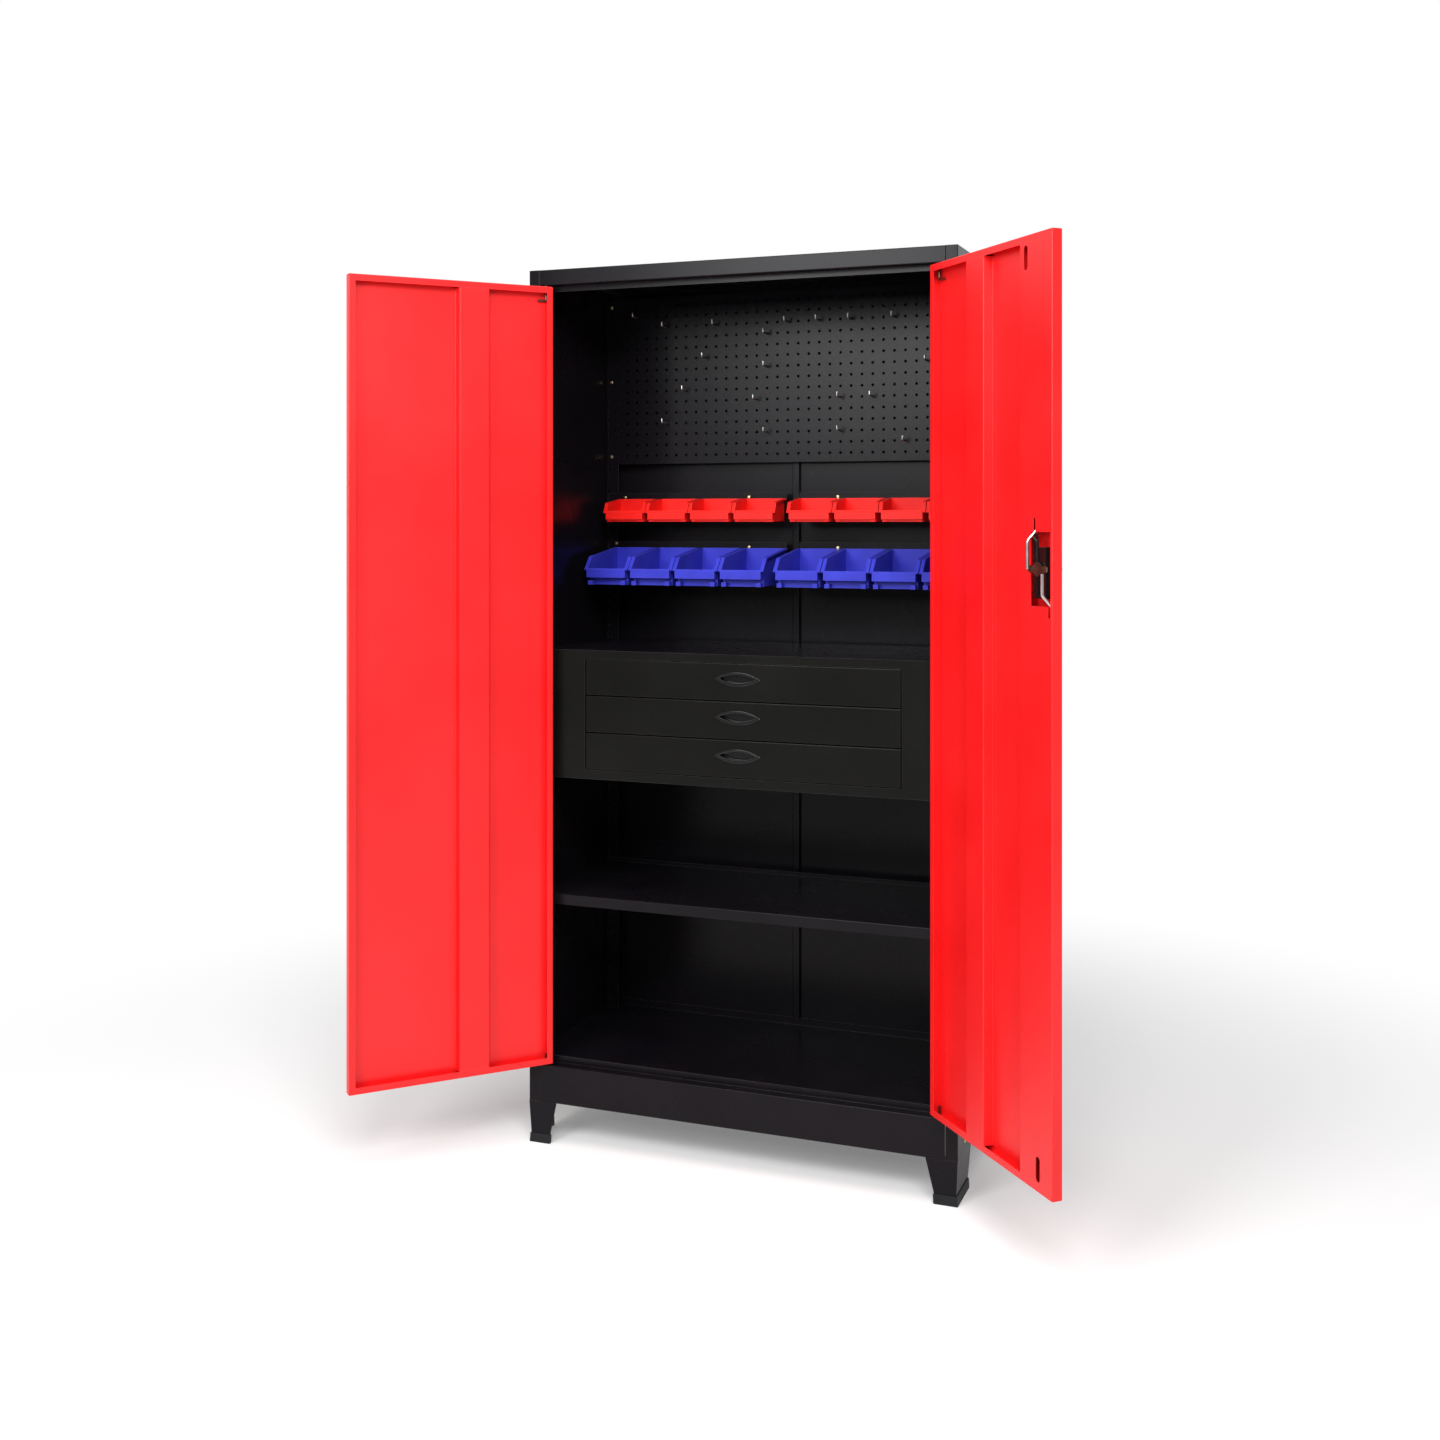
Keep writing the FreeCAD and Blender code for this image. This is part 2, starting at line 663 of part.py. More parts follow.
def peg_panel():
    """One holed face pushed to the sheet's thickness, with its top and bottom edges turned back."""
    corners = [V(-peg_half, peg_front, peg_bottom), V(peg_half, peg_front, peg_bottom),
               V(peg_half, peg_front, peg_top), V(-peg_half, peg_front, peg_top)]
    wires = [Part.makePolygon(corners + corners[:1])]
    toward_back = V(0, 1, 0)
    for column in range(peg_columns):
        for row in range(peg_rows):
            x, z = peg_hole_place(column, row)
            wires.append(Part.Wire(Part.makeCircle(PEG_HOLE_RADIUS, V(x, peg_front, z), toward_back)))
    for x in (-peg_screw_x, peg_screw_x):
        for z in peg_screw_heights():
            radius = SCREW_SHANK_RADIUS + SCREW_HOLE_FIT
            wires.append(Part.Wire(Part.makeCircle(radius, V(x, peg_front, z), toward_back)))
    face = Part.Face(wires, "Part::FaceMakerBullseye")
    sheet = face.extrude(toward_back * SHEET)
    reach = upright_edge - CLEARANCE
    returns = [box(-reach, reach, peg_front, peg_front + PEG_RETURN, z, z + SHEET)
               for z in (peg_bottom, peg_top - SHEET)]
    return sheet.fuse(returns)


def peg_hooks():
    """Wire hooks pushed into holes of the panel, tails up behind it."""
    hooks = []
    tail_y = peg_front + SHEET + HOOK_TAIL_SETBACK
    tip_y = peg_front - HOOK_REACH
    for across_share, up_share in HOOK_HOLE_SHARES:
        column = round(across_share * (peg_columns - 1))
        row = round(up_share * (peg_rows - 1))
        x, z = peg_hole_place(column, row)
        points = [V(x, tail_y, z + HOOK_TAIL), V(x, tail_y, z), V(x, tip_y, z), V(x, tip_y, z + HOOK_TIP)]
        hooks.append(bent_rod(points, HOOK_WIRE_RADIUS, HOOK_BEND))
    return Part.makeCompound(hooks)


def screw_hole(x, y, z):
    radius = SCREW_SHANK_RADIUS + SCREW_HOLE_FIT
    return cylinder(radius, V(x, y - OVERRUN, z), V(x, y + OVERRUN, z))


def screw(x, y, z, toward, length=SCREW_SHANK_LENGTH):
    """Round-headed screw whose head stands on the point, facing against the direction given."""
    seat = V(x, y, z)
    head = cylinder(SCREW_HEAD_RADIUS, seat.sub(toward * SCREW_HEAD_HEIGHT), seat)
    rim = [edge for edge in head.Edges
           if abs((edge.CenterOfMass.sub(seat)).Length - SCREW_HEAD_HEIGHT) < SCREW_HOLE_FIT]
    head = head.makeFillet(SCREW_HEAD_HEIGHT * SCREW_ROUND_SHARE, rim)
    return head.fuse(cylinder(SCREW_SHANK_RADIUS, seat, seat.add(toward * length)))


def red_screws():
    """Places of the screws of the upper rail, as distance from the middle and height."""
    z = red_top + RED_SCREW_RISE
    return [(RAIL_SCREW_FROM_MIDDLE, z), (wall_x - RED_SCREW_FROM_WALL, z)]


def blue_screws():
    """Places of the screws of the lower rail; the outer one goes through the corner strip."""
    return [(RAIL_SCREW_FROM_MIDDLE, blue_top + BLUE_SCREW_RISE),
            (wall_x - BLUE_SCREW_FROM_WALL, blue_top + BLUE_OUTER_SCREW_RISE)]


def fixing_screws():
    screws = []
    backward = V(0, 1, 0)
    for side in (-1, 1):
        for z in peg_screw_heights():
            screws.append(screw(side * peg_screw_x, peg_front, z, backward))
        for x, z in red_screws() + blue_screws():
            length = back_face + SHEET - rail_face
            screws.append(screw(side * x, rail_face, z, backward, length))
        for y, z in leg_bolt_places():
            screws.append(screw(side * half, y, z, V(-side, 0, 0)))
    return Part.makeCompound(screws)


# Bin rails and bins

def bin_rail(top, screws):
    """Left rail: plate on the corner strip with an upturned lip that the bins hook over."""
    lip_top = top - BIN_WALL
    ledge = lip_top - RAIL_LIP
    path = [(rear_upright_y, top + RAIL_RISE), (rear_upright_y, ledge), (rail_lip_y, ledge),
            (rail_lip_y, lip_top)]
    rail = folded(path, "yz", -rail_outer, -RAIL_FROM_MIDDLE, HEAVY_SHEET)
    return cut_all(rail, [screw_hole(-x, rail_face, z) for x, z in screws])


def bin_rails():
    upper = both_sides(bin_rail(red_top, red_screws()))
    lower = both_sides(bin_rail(blue_top, blue_screws()))
    return Part.makeCompound(upper + lower)


def hanging_bin(width, depth, height, lip_bottom, lip_top, nose_run, shoulder, overhang):
    """Open-fronted bin with its back face at Y 0 and its underside at Z 0."""
    body_half = width / 2 - BIN_RIM_OVERHANG
    nose = (-depth, lip_top)
    cheek = (-depth + nose_run, shoulder)
    crest = (0, height)
    base_front = -depth + overhang
    outline = [(0, 0), (base_front, 0), (base_front, lip_bottom), (-depth, lip_bottom),
               nose, cheek, crest]
    body = prism(outline, "yz", -body_half, body_half)
    upright_ends = [edge for edge in body.Edges
                    if abs(abs(edge.CenterOfMass.x) - body_half) < BIN_WALL
                    and edge.CenterOfMass.z < lip_bottom / 2]
    body = body.makeFillet(BIN_CORNER_RADIUS, upright_ends)
    band, band_radii = strip_outline([nose, cheek, crest], BIN_RIM, BEND)
    rim = prism(band, "yz", -width / 2, width / 2, band_radii)
    rim = rim.cut(box(-width, width, 0, OVERRUN, 0, height + OVERRUN))
    feet = []
    for side in (-1, 1):
        middle = side * (body_half - BIN_FOOT_WIDTH / 2 - BIN_CORNER_RADIUS)
        foot = box(middle - BIN_FOOT_WIDTH / 2, middle + BIN_FOOT_WIDTH / 2, -depth + BIN_FOOT_SETBACK,
                   base_front + BIN_WALL, 0, lip_bottom * BIN_FOOT_SHARE)
        feet.append(foot)
    inner_half = body_half - BIN_WALL
    well = [(-BIN_WALL, BIN_WALL), (base_front + BIN_WALL, BIN_WALL),
            (base_front + BIN_WALL, lip_bottom + BIN_WALL), (-depth + BIN_WALL, lip_bottom + BIN_WALL),
            (-depth + BIN_WALL, height + OVERRUN), (-BIN_WALL, height + OVERRUN)]
    hollow = prism(well, "yz", -inner_half, inner_half)
    hook_reach = HEAVY_SHEET + SEAM + RAIL_GAP / 2 + BIN_WALL / 2
    hook_half = BIN_HOOK_WIDTH / 2
    bridge = box(-hook_half, hook_half, -BIN_WALL, hook_reach, height - BIN_WALL, height)
    tongue = box(-hook_half, hook_half, hook_reach - BIN_WALL, hook_reach,
                 height - BIN_WALL - BIN_HOOK_DROP, height)
    shell = body.fuse([rim] + feet).cut(hollow)
    return shell.fuse([bridge, tongue]).removeSplitter()


def bin_places(group_from_middle, pitch):
    """Distances of a group's bins from the middle of the cabinet."""
    return [group_from_middle + pitch * index + pitch / 2 for index in range(BINS_PER_GROUP)]


def hang_bins(colour, model, bottom, places):
    """Place a group of bins on each side, named from left to right."""
    placed = {}
    for index, x in enumerate(places):
        placed[f"{colour}_bin_left_{BINS_PER_GROUP - index}"] = model.translated(V(-x, bin_back_y, bottom))
        placed[f"{colour}_bin_right_{index + 1}"] = model.translated(V(x, bin_back_y, bottom))
    return placed


def all_bins():
    red = hanging_bin(red_pitch - BIN_GAP, RED_BIN_DEPTH, RED_BIN_HEIGHT, RED_LIP_BOTTOM, RED_LIP_TOP,
                      RED_NOSE_RUN, RED_SHOULDER, RED_LIP_OVERHANG)
    blue = hanging_bin(blue_pitch - BIN_GAP, BLUE_BIN_DEPTH, BLUE_BIN_HEIGHT, BLUE_LIP_BOTTOM,
                       BLUE_LIP_TOP, BLUE_NOSE_RUN, BLUE_SHOULDER, BLUE_LIP_OVERHANG)
    bins = hang_bins("red", red, red_top - RED_BIN_HEIGHT, bin_places(RED_GROUP_FROM_MIDDLE, red_pitch))
    bins.update(hang_bins("blue", blue, blue_top - BLUE_BIN_HEIGHT,
                          bin_places(BLUE_GROUP_FROM_MIDDLE, blue_pitch)))
    return bins


# Shelf and clips

def shelf():
    tray = pan(V(-inside_x, inside_front, shelf_bottom), V(inside_x, inside_rear, shelf_top),
               SHEET, "-z", SHELF_RETURN)
    lip_rear = inside_rear - BEND - SHEET
    lip_reach = inside_x - BEND - SHEET
    lip = box(-lip_reach, lip_reach, lip_rear - SHEET, lip_rear,
              shelf_top - SHEET, shelf_top + SHELF_REAR_LIP)
    return tray.fuse(lip)


def clip_pair(z):
    """Front and rear clips on the left, holding what lies at height z."""
    front_y = front_upright_y + UPRIGHT_SIDE - SLOT_FROM_WALL
    path = [(-wall_x + HEAVY_SHEET, z - CLIP_DROP), (-wall_x + HEAVY_SHEET, z), (-wall_x + CLIP_REACH, z)]
    front_clip = folded(path, "xz", front_y - CLIP_WIDTH / 2, front_y + CLIP_WIDTH / 2, HEAVY_SHEET)
    rear_x = -(wall_x + upright_edge) / 2
    path = [(rear_upright_y - CLIP_REACH, z), (rear_upright_y, z), (rear_upright_y, z - CLIP_DROP)]
    rear_clip = folded(path, "yz", rear_x - CLIP_WIDTH / 2, rear_x + CLIP_WIDTH / 2, HEAVY_SHEET)
    return [front_clip, rear_clip]


def shelf_clips():
    left = clip_pair(shelf_bottom) + clip_pair(unit_bottom)
    return Part.makeCompound(left + [mirror_x(clip) for clip in left])


# Drawer unit and drawers

def drawer_unit_frame():
    """Front plate with the drawer opening, and two cheeks folded back from its sides."""
    plate_rear = inside_front + HEAVY_SHEET
    plate = box(-inside_x, inside_x, inside_front, plate_rear, unit_bottom, unit_top)
    opening = box(-field_half, field_half, inside_front - OVERRUN, plate_rear + OVERRUN,
                  field_bottom, field_top)
    cheek_bottom = unit_bottom + HEAVY_SHEET
    cheek_top = unit_top - HEAVY_SHEET
    cheek = box(-field_half - HEAVY_SHEET, -field_half, inside_front, inside_rear - UNIT_EDGE,
                cheek_bottom, cheek_top)
    return plate.cut(opening).fuse(both_sides(cheek)).removeSplitter()


def drawer_unit_top():
    """Top of the unit: a sheet with its rear and side edges turned down."""
    front_y = inside_front + HEAVY_SHEET
    sheet = pan(V(-inside_x, front_y - OVERRUN, unit_top - UNIT_EDGE),
                V(inside_x, inside_rear, unit_top), HEAVY_SHEET, "-z", HEAVY_SHEET)
    return sheet.cut(front_trim(front_y))


def drawer_unit_base():
    """Base of the unit: the same sheet with its edges turned up."""
    front_y = inside_front + HEAVY_SHEET
    sheet = pan(V(-inside_x, front_y - OVERRUN, unit_bottom),
                V(inside_x, inside_rear, unit_bottom + UNIT_EDGE), HEAVY_SHEET, "+z", HEAVY_SHEET)
    return sheet.cut(front_trim(front_y))


def front_trim(front_y):
    return box(-half, half, front, front_y, unit_bottom - OVERRUN, unit_top + OVERRUN)


def drawer_bottom(index):
    """Height of the underside of a drawer's place, counted from the top one."""
    return field_top - DRAWER_PITCH * (index + 1)


def runner_height(index):
    return drawer_bottom(index) + TRAY_LIFT + RUNNER_RISE


def fixed_runner(index):
    """Left channel on the cheek, open towards the drawer."""
    reach = RUNNER_HEIGHT / 2
    z = runner_height(index)
    path = [(-field_half + RUNNER_DEPTH, z + reach), (-field_half, z + reach), (-field_half, z - reach),
            (-field_half + RUNNER_DEPTH, z - reach)]
    outline, radii = strip_outline(path[::-1], HEAVY_SHEET, BEND)
    return prism(outline, "xz", runner_front, runner_rear, radii)


def drawer_unit_runners():
    runners = []
    for index in range(DRAWER_COUNT):
        runners += both_sides(fixed_runner(index))
    return Part.makeCompound(runners)


def moving_runners(index):
    """Channels on the sides of a tray that slide inside the fixed ones."""
    reach = RUNNER_HEIGHT / 2 - HEAVY_SHEET - CLEARANCE
    z = runner_height(index)
    edge = -field_half + HEAVY_SHEET + CLEARANCE
    path = [(edge, z + reach), (-tray_half, z + reach), (-tray_half, z - reach), (edge, z - reach)]
    channel = folded(path, "xz", runner_front, runner_rear - TRAY_REAR_GAP, HEAVY_SHEET)
    return Part.makeCompound(both_sides(channel))


def pull_height(index):
    return drawer_bottom(index) + DRAWER_PITCH / 2 + PULL_RISE


def drawer_tray(index):
    """Folded drawer: front pan with a hole for the pull, and the tray behind it."""
    bottom = drawer_bottom(index)
    front_half = field_half - DRAWER_GAP
    face = pan(V(-front_half, inside_front, bottom + DRAWER_GAP / 2),
               V(front_half, inside_front + DRAWER_FRONT_DEPTH, bottom + DRAWER_PITCH - DRAWER_GAP / 2),
               HEAVY_SHEET, "+y", HEAVY_SHEET)
    tray_front = inside_front + HEAVY_SHEET - SHEET
    tray_rear = runner_rear - TRAY_REAR_GAP
    tray_bottom = bottom + TRAY_LIFT
    tray_top = tray_bottom + TRAY_SIDE_HEIGHT
    tray = box(-tray_half, tray_half, tray_front, tray_rear, tray_bottom, tray_top)
    well = box(-tray_half + SHEET, tray_half - SHEET, tray_front + SHEET, tray_rear - SHEET,
               tray_bottom + SHEET, tray_top + OVERRUN)
    hole = eye_prism(PULL_CUP_WIDTH + 2 * PULL_HOLE_FIT, PULL_CUP_HEIGHT + 2 * PULL_HOLE_FIT, 0,
                     pull_height(index), inside_front - OVERRUN, inside_front + OVERRUN)
    return face.fuse(tray.cut(well)).cut(hole).removeSplitter()


def drawer_pull(index):
    """Almond-shaped cup with a rim that stands a little proud of the drawer front."""
    z = pull_height(index)
    cup_rear = inside_front + PULL_DEPTH
    rim_front = inside_front - PULL_PROUD
    rim = eye_prism(PULL_WIDTH, PULL_HEIGHT, 0, z, rim_front, inside_front)
    front_edges = [edge for edge in rim.Edges if abs(edge.CenterOfMass.y - rim_front) < PULL_WALL / 2]
    rim = rim.makeFillet(PULL_PROUD / 2, front_edges)
    cup = eye_prism(PULL_CUP_WIDTH, PULL_CUP_HEIGHT, 0, z, inside_front, cup_rear)
    hollow = eye_prism(PULL_HOLLOW_WIDTH, PULL_HOLLOW_HEIGHT, 0, z + PULL_HOLLOW_RISE,
                       rim_front - OVERRUN, cup_rear - PULL_WALL)
    return rim.fuse(cup).cut(hollow)


# Doors, drawn shut on the left side, then mirrored for the right and swung open

def swing(shape, side):
    """Take a piece drawn on the shut left door to its open place on the left or right door."""
    if side == "left":
        return shape.rotated(V(pin_x, pin_y, 0), V(0, 0, 1), -OPEN_ANGLE)
    return mirror_x(shape).rotated(V(-pin_x, pin_y, 0), V(0, 0, 1), OPEN_ANGLE)


def door_panel(with_lock):
    """Door pan: outer skin, edges and a flange turned in on the inner face."""
    panel = pan(V(hinge_edge, front, door_bottom), V(free_edge, door_inner, door_top),
                SHEET, "+y", DOOR_FLANGE)
    holes = []
    for z in (door_bottom, door_top):
        holes.append(ledge_hole(pin_x, PIN_RADIUS + PIN_FIT, pin_y, z))
    if with_lock:
        holes.append(ledge_hole(upper_rod_x, ROD_RADIUS + ROD_HOLE_FIT, rod_inner_y, door_top))
        holes.append(ledge_hole(lower_rod_x, ROD_RADIUS + ROD_HOLE_FIT, rod_inner_y, door_bottom))
        holes.append(box(free_edge - DOOR_FLANGE - OVERRUN, free_edge - SHEET, door_inner - SHEET,
                         door_inner + OVERRUN, door_bottom + DOOR_FLANGE, door_top - DOOR_FLANGE))
        neck_x, neck_z = LOCK_NECK_WIDTH / 2 + SEAM, LOCK_NECK_HEIGHT / 2 + SEAM
        holes.append(box(lock_x - neck_x, lock_x + neck_x, front - OVERRUN, front + OVERRUN,
                         lock_z - neck_z, lock_z + neck_z))
    return cut_all(panel, holes)


def door_stiffener():
    """Hat section on the inside of the skin, its crown level with the door's flange."""
    start = hinge_edge + STIFFENER_FROM_HINGE
    end = start + STIFFENER_WIDTH
    brim_y = front + 2 * SHEET
    path = [(start - STIFFENER_LEAN - STIFFENER_BRIM, brim_y), (start - STIFFENER_LEAN, brim_y),
            (start, door_inner), (end, door_inner), (end + STIFFENER_LEAN, brim_y),
            (end + STIFFENER_LEAN + STIFFENER_BRIM, brim_y)]
    return folded(path, "xy", door_bottom + DOOR_FLANGE, door_top - DOOR_FLANGE)


def lock_stile():
    """Wide strip along the free edge of the right door, with slots and the lock window."""
    stile_x = free_edge - STILE_WIDTH
    brim_y = front + 2 * SHEET
    path = [(stile_x - STIFFENER_BRIM, brim_y), (stile_x, brim_y), (stile_x, door_inner),
            (free_edge - SHEET, door_inner)]
    stile = folded(path, "xy", door_bottom + DOOR_FLANGE, door_top - DOOR_FLANGE)
    y0, y1 = door_inner - OVERRUN, door_inner + OVERRUN
    slot_offset = STILE_SLOT_INSET + STILE_SLOT_LENGTH / 2
    window_right = free_edge - LOCK_WINDOW_FROM_FREE_EDGE
    rod_slot_width = 2 * (ROD_RADIUS + ROD_HOLE_FIT)
    crossing = ROD_STRAIGHT + ROD_STANDOFF
    low_crossing = ROD_LOW_START + ROD_LOW_STRAIGHT + ROD_STANDOFF
    rod_slot_length = 2 * (ROD_TRAVEL + 2 * ROD_RADIUS)
    holes = [slot_prism(STILE_SLOT_WIDTH, STILE_SLOT_LENGTH, free_edge - TOP_SLOT_FROM_FREE_EDGE,
                        door_top - slot_offset, y0, y1),
             slot_prism(STILE_SLOT_WIDTH, STILE_SLOT_LENGTH, free_edge - BOTTOM_SLOT_FROM_FREE_EDGE,
                        door_bottom + slot_offset, y0, y1),
             box(window_right - LOCK_WINDOW_WIDTH, window_right, y0, y1,
                 lock_z - LOCK_WINDOW_HEIGHT / 2, lock_z + LOCK_WINDOW_HEIGHT / 2),
             slot_prism(rod_slot_width, rod_slot_length, upper_rod_x, lock_z + crossing, y0, y1),
             slot_prism(rod_slot_width, rod_slot_length, lower_rod_x, lock_z - low_crossing, y0, y1)]
    return cut_all(stile, holes)


def top_pin():
    """Spring pin: upright shaft into the fascia's ledge, with a bent end to pull it down by."""
    low_z = door_top - TOP_PIN_DROP
    points = [V(pin_x, pin_y, fascia_bottom + PIN_ENGAGEMENT), V(pin_x, pin_y, low_z),
              V(pin_x + TOP_PIN_HANDLE, pin_y, low_z)]
    return bent_rod(points, PIN_RADIUS, TOP_PIN_BEND)


def lower_pin():
    """Fixed pin with the washer that the door rides on."""
    shaft = cylinder(PIN_RADIUS, V(pin_x, pin_y, skirt_top - PIN_ENGAGEMENT),
                     V(pin_x, pin_y, door_bottom + LOWER_PIN_RISE))
    washer = cylinder(PIN_WASHER_RADIUS, V(pin_x, pin_y, skirt_top + SEAM), V(pin_x, pin_y, door_bottom))
    return shaft.fuse(washer)


# Lock

def on_lock_axis(radius, y0, y1):
    """Round solid on the axis of the lock's spindle."""
    return cylinder(radius, V(lock_x, y0, lock_z), V(lock_x, y1, lock_z))


def lock_housing():
    """Outer plate, neck through the skin, body and fixing strip inside, bored for the spindle."""
    plate_half, plate_reach = LOCK_PLATE_WIDTH / 2, LOCK_PLATE_HEIGHT / 2
    plate = rounded_box(lock_x - plate_half, lock_x + plate_half, front - LOCK_PLATE_THICKNESS, front,
                        lock_z - plate_reach, lock_z + plate_reach, LOCK_BODY_EDGE_RADIUS)
    neck_half, neck_reach = LOCK_NECK_WIDTH / 2, LOCK_NECK_HEIGHT / 2
    neck = box(lock_x - neck_half, lock_x + neck_half, front, front + SHEET + BEND,
               lock_z - neck_reach, lock_z + neck_reach)
    body_right = free_edge - LOCK_BODY_FROM_FREE_EDGE
    body_z = lock_z - LOCK_BODY_DROP
    body_reach = LOCK_BODY_HEIGHT / 2
    body = rounded_box(body_right - LOCK_BODY_WIDTH, body_right, front + SHEET, lock_body_back,
                       body_z - body_reach, body_z + body_reach, LOCK_BODY_EDGE_RADIUS)
    strip_x = lock_x - LOCK_STRIP_OFFSET
    strip_z = lock_z + LOCK_STRIP_RISE
    strip_back = lock_body_back + LOCK_STRIP_THICKNESS
    strip = slot_prism(LOCK_STRIP_WIDTH, LOCK_STRIP_HEIGHT, strip_x, strip_z, lock_body_back, strip_back)
    eye_z = strip_z + (LOCK_STRIP_HEIGHT - LOCK_STRIP_WIDTH) / 2
    eye = cylinder(LOCK_STRIP_EYE_RADIUS, V(strip_x, lock_body_back - OVERRUN, eye_z),
                   V(strip_x, strip_back + OVERRUN, eye_z))
    bore = on_lock_axis(SPINDLE_RADIUS + SPINDLE_FIT, front - LOCK_PLATE_THICKNESS - OVERRUN,
                        lock_body_back + OVERRUN)
    rod_paths = []
    for x in (upper_rod_x, lower_rod_x):
        room = ROD_RADIUS + ROD_HOLE_FIT
        rod_paths.append(box(x - room, x + room, rod_inner_y - room, lock_body_back + OVERRUN,
                             door_bottom, door_top))
    return cut_all(plate.fuse([neck, body, strip]), [bore, eye] + rod_paths)


def lock_handle():
    """Flat lever towards the hinge, with its hub and the spindle that carries the cam."""
    hub = on_lock_axis(HANDLE_HUB_RADIUS, handle_front, handle_rear)
    side = HANDLE_WIDTH / 2
    lever = rounded_box(lock_x - HANDLE_REACH, lock_x, handle_front, handle_rear,
                        lock_z - side, lock_z + side, HANDLE_THICKNESS * HANDLE_ROUND_SHARE)
    spindle = on_lock_axis(SPINDLE_RADIUS, handle_rear, cam_back - CAM_THICKNESS)
    socket = on_lock_axis(KEY_RADIUS + SPINDLE_FIT, handle_front - OVERRUN, handle_front + KEY_LENGTH)
    return hub.fuse([lever, spindle]).cut(socket).removeSplitter()


def key_cylinder():
    """Round lock core with a key slot across its face."""
    face_y = handle_front - KEY_PROUD
    core = on_lock_axis(KEY_RADIUS, face_y, handle_front + KEY_LENGTH - SEAM)
    side, reach = KEY_SLOT_WIDTH / 2, KEY_SLOT_LENGTH / 2
    slot = box(lock_x - side, lock_x + side, face_y - OVERRUN, face_y + KEY_SLOT_DEPTH,
               lock_z - reach, lock_z + reach)
    return core.cut(slot)


def lock_cam():
    """Two-eared cam on the end of the spindle, a rivet head on each ear."""
    y0 = cam_back - CAM_THICKNESS
    hub = on_lock_axis(CAM_HUB_RADIUS, y0, cam_back)
    side = CAM_EAR_WIDTH / 2
    arm = box(upper_rod_x, lower_rod_x, y0, cam_back, lock_z - side, lock_z + side)
    ears = []
    for x in (upper_rod_x, lower_rod_x):
        seat = V(x, cam_back, lock_z)
        ears.append(cylinder(side, V(x, y0, lock_z), seat))
        ears.append(cylinder(CAM_RIVET_RADIUS, seat, seat.add(V(0, CAM_RIVET_HEIGHT, 0))))
    return hub.fuse([arm] + ears).removeSplitter()


def upper_lock_rod():
    """Rod from the cam's ear up through the top of the door, bent into the stile."""
    bend_z = lock_z + ROD_STRAIGHT
    points = [V(upper_rod_x, rod_outer_y, lock_z), V(upper_rod_x, rod_outer_y, bend_z),
              V(upper_rod_x, rod_inner_y, bend_z + rod_cross),
              V(upper_rod_x, rod_inner_y, door_top - ROD_TIP_INSET)]
    return bent_rod(points, ROD_RADIUS, ROD_BEND)


def lower_lock_rod():
    """Rod from the cam's other ear down through the bottom of the door."""
    start_z = lock_z - ROD_LOW_START
    bend_z = start_z - ROD_LOW_STRAIGHT
    points = [V(lower_rod_x, rod_outer_y, start_z), V(lower_rod_x, rod_outer_y, bend_z),
              V(lower_rod_x, rod_inner_y, bend_z - rod_cross),
              V(lower_rod_x, rod_inner_y, door_bottom + ROD_TIP_INSET)]
    return bent_rod(points, ROD_RADIUS, ROD_BEND)


# All pieces by name

def carcass_nodes():
    left_side = side_panel()
    left_back = back_panel()
    uprights = both_sides(rear_upright()) + both_sides(front_upright())
    return {
        "side_panel_left": left_side,
        "side_panel_right": mirror_x(left_side),
        "top_panel": top_panel(),
        "plinth_skirt": plinth_skirt(),
        "floor_panel": floor_panel(),
        "back_panels": Part.makeCompound(both_sides(left_back)),
        "back_centre_post": back_centre_post(),
        "shelf_uprights": Part.makeCompound(uprights),
        "legs": four_corners(leg()),
        "foot_caps": four_corners(foot_cap()),
        "peg_panel": peg_panel(),
        "peg_hooks": peg_hooks(),
        "fixing_screws": fixing_screws(),
        "bin_rails": bin_rails(),
        "shelf": shelf(),
        "shelf_clips": shelf_clips(),
        "drawer_unit_frame": drawer_unit_frame(),
        "drawer_unit_top": drawer_unit_top(),
        "drawer_unit_base": drawer_unit_base(),
        "drawer_unit_runners": drawer_unit_runners(),
    }


def drawer_nodes():
    nodes = {}
    for index in range(DRAWER_COUNT):
        number = index + 1
        nodes[f"drawer_tray_{number}"] = drawer_tray(index)
        nodes[f"drawer_pull_{number}"] = drawer_pull(index)
        nodes[f"drawer_runners_{number}"] = moving_runners(index)
    return nodes


def door_nodes():
    shut = {
        "left_door_panel": ("left", door_panel(False)),
        "left_door_stiffener": ("left", door_stiffener()),
        "left_top_pin": ("left", top_pin()),
        "left_lower_pin": ("left", lower_pin()),
        "right_door_panel": ("right", door_panel(True)),
        "right_door_stiffener": ("right", door_stiffener()),
        "right_top_pin": ("right", top_pin()),
        "right_lower_pin": ("right", lower_pin()),
        "lock_stile": ("right", lock_stile()),
        "lock_housing": ("right", lock_housing()),
        "lock_handle": ("right", lock_handle()),
        "key_cylinder": ("right", key_cylinder()),
        "lock_cam": ("right", lock_cam()),
        "upper_lock_rod": ("right", upper_lock_rod()),
        "lower_lock_rod": ("right", lower_lock_rod()),
    }
    return {name: swing(shape, side) for name, (side, shape) in shut.items()}


def main():
    os.makedirs("parts", exist_ok=True)
    nodes = carcass_nodes()
    nodes.update(all_bins())
    nodes.update(drawer_nodes())
    nodes.update(door_nodes())
    for name, shape in nodes.items():
        shape.exportStep(os.path.join("parts", name + ".step"))
        print(name, len(shape.Solids), "solids", "valid" if shape.isValid() else "NOT VALID")


main()
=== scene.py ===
import bpy
import json
import math
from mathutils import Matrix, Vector

# Looks of the two-door tool cabinet: powder-coated sheet, moulded bins, plated wire and screws.
# Metres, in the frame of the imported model: origin on the floor under the carcass, Y to the back.

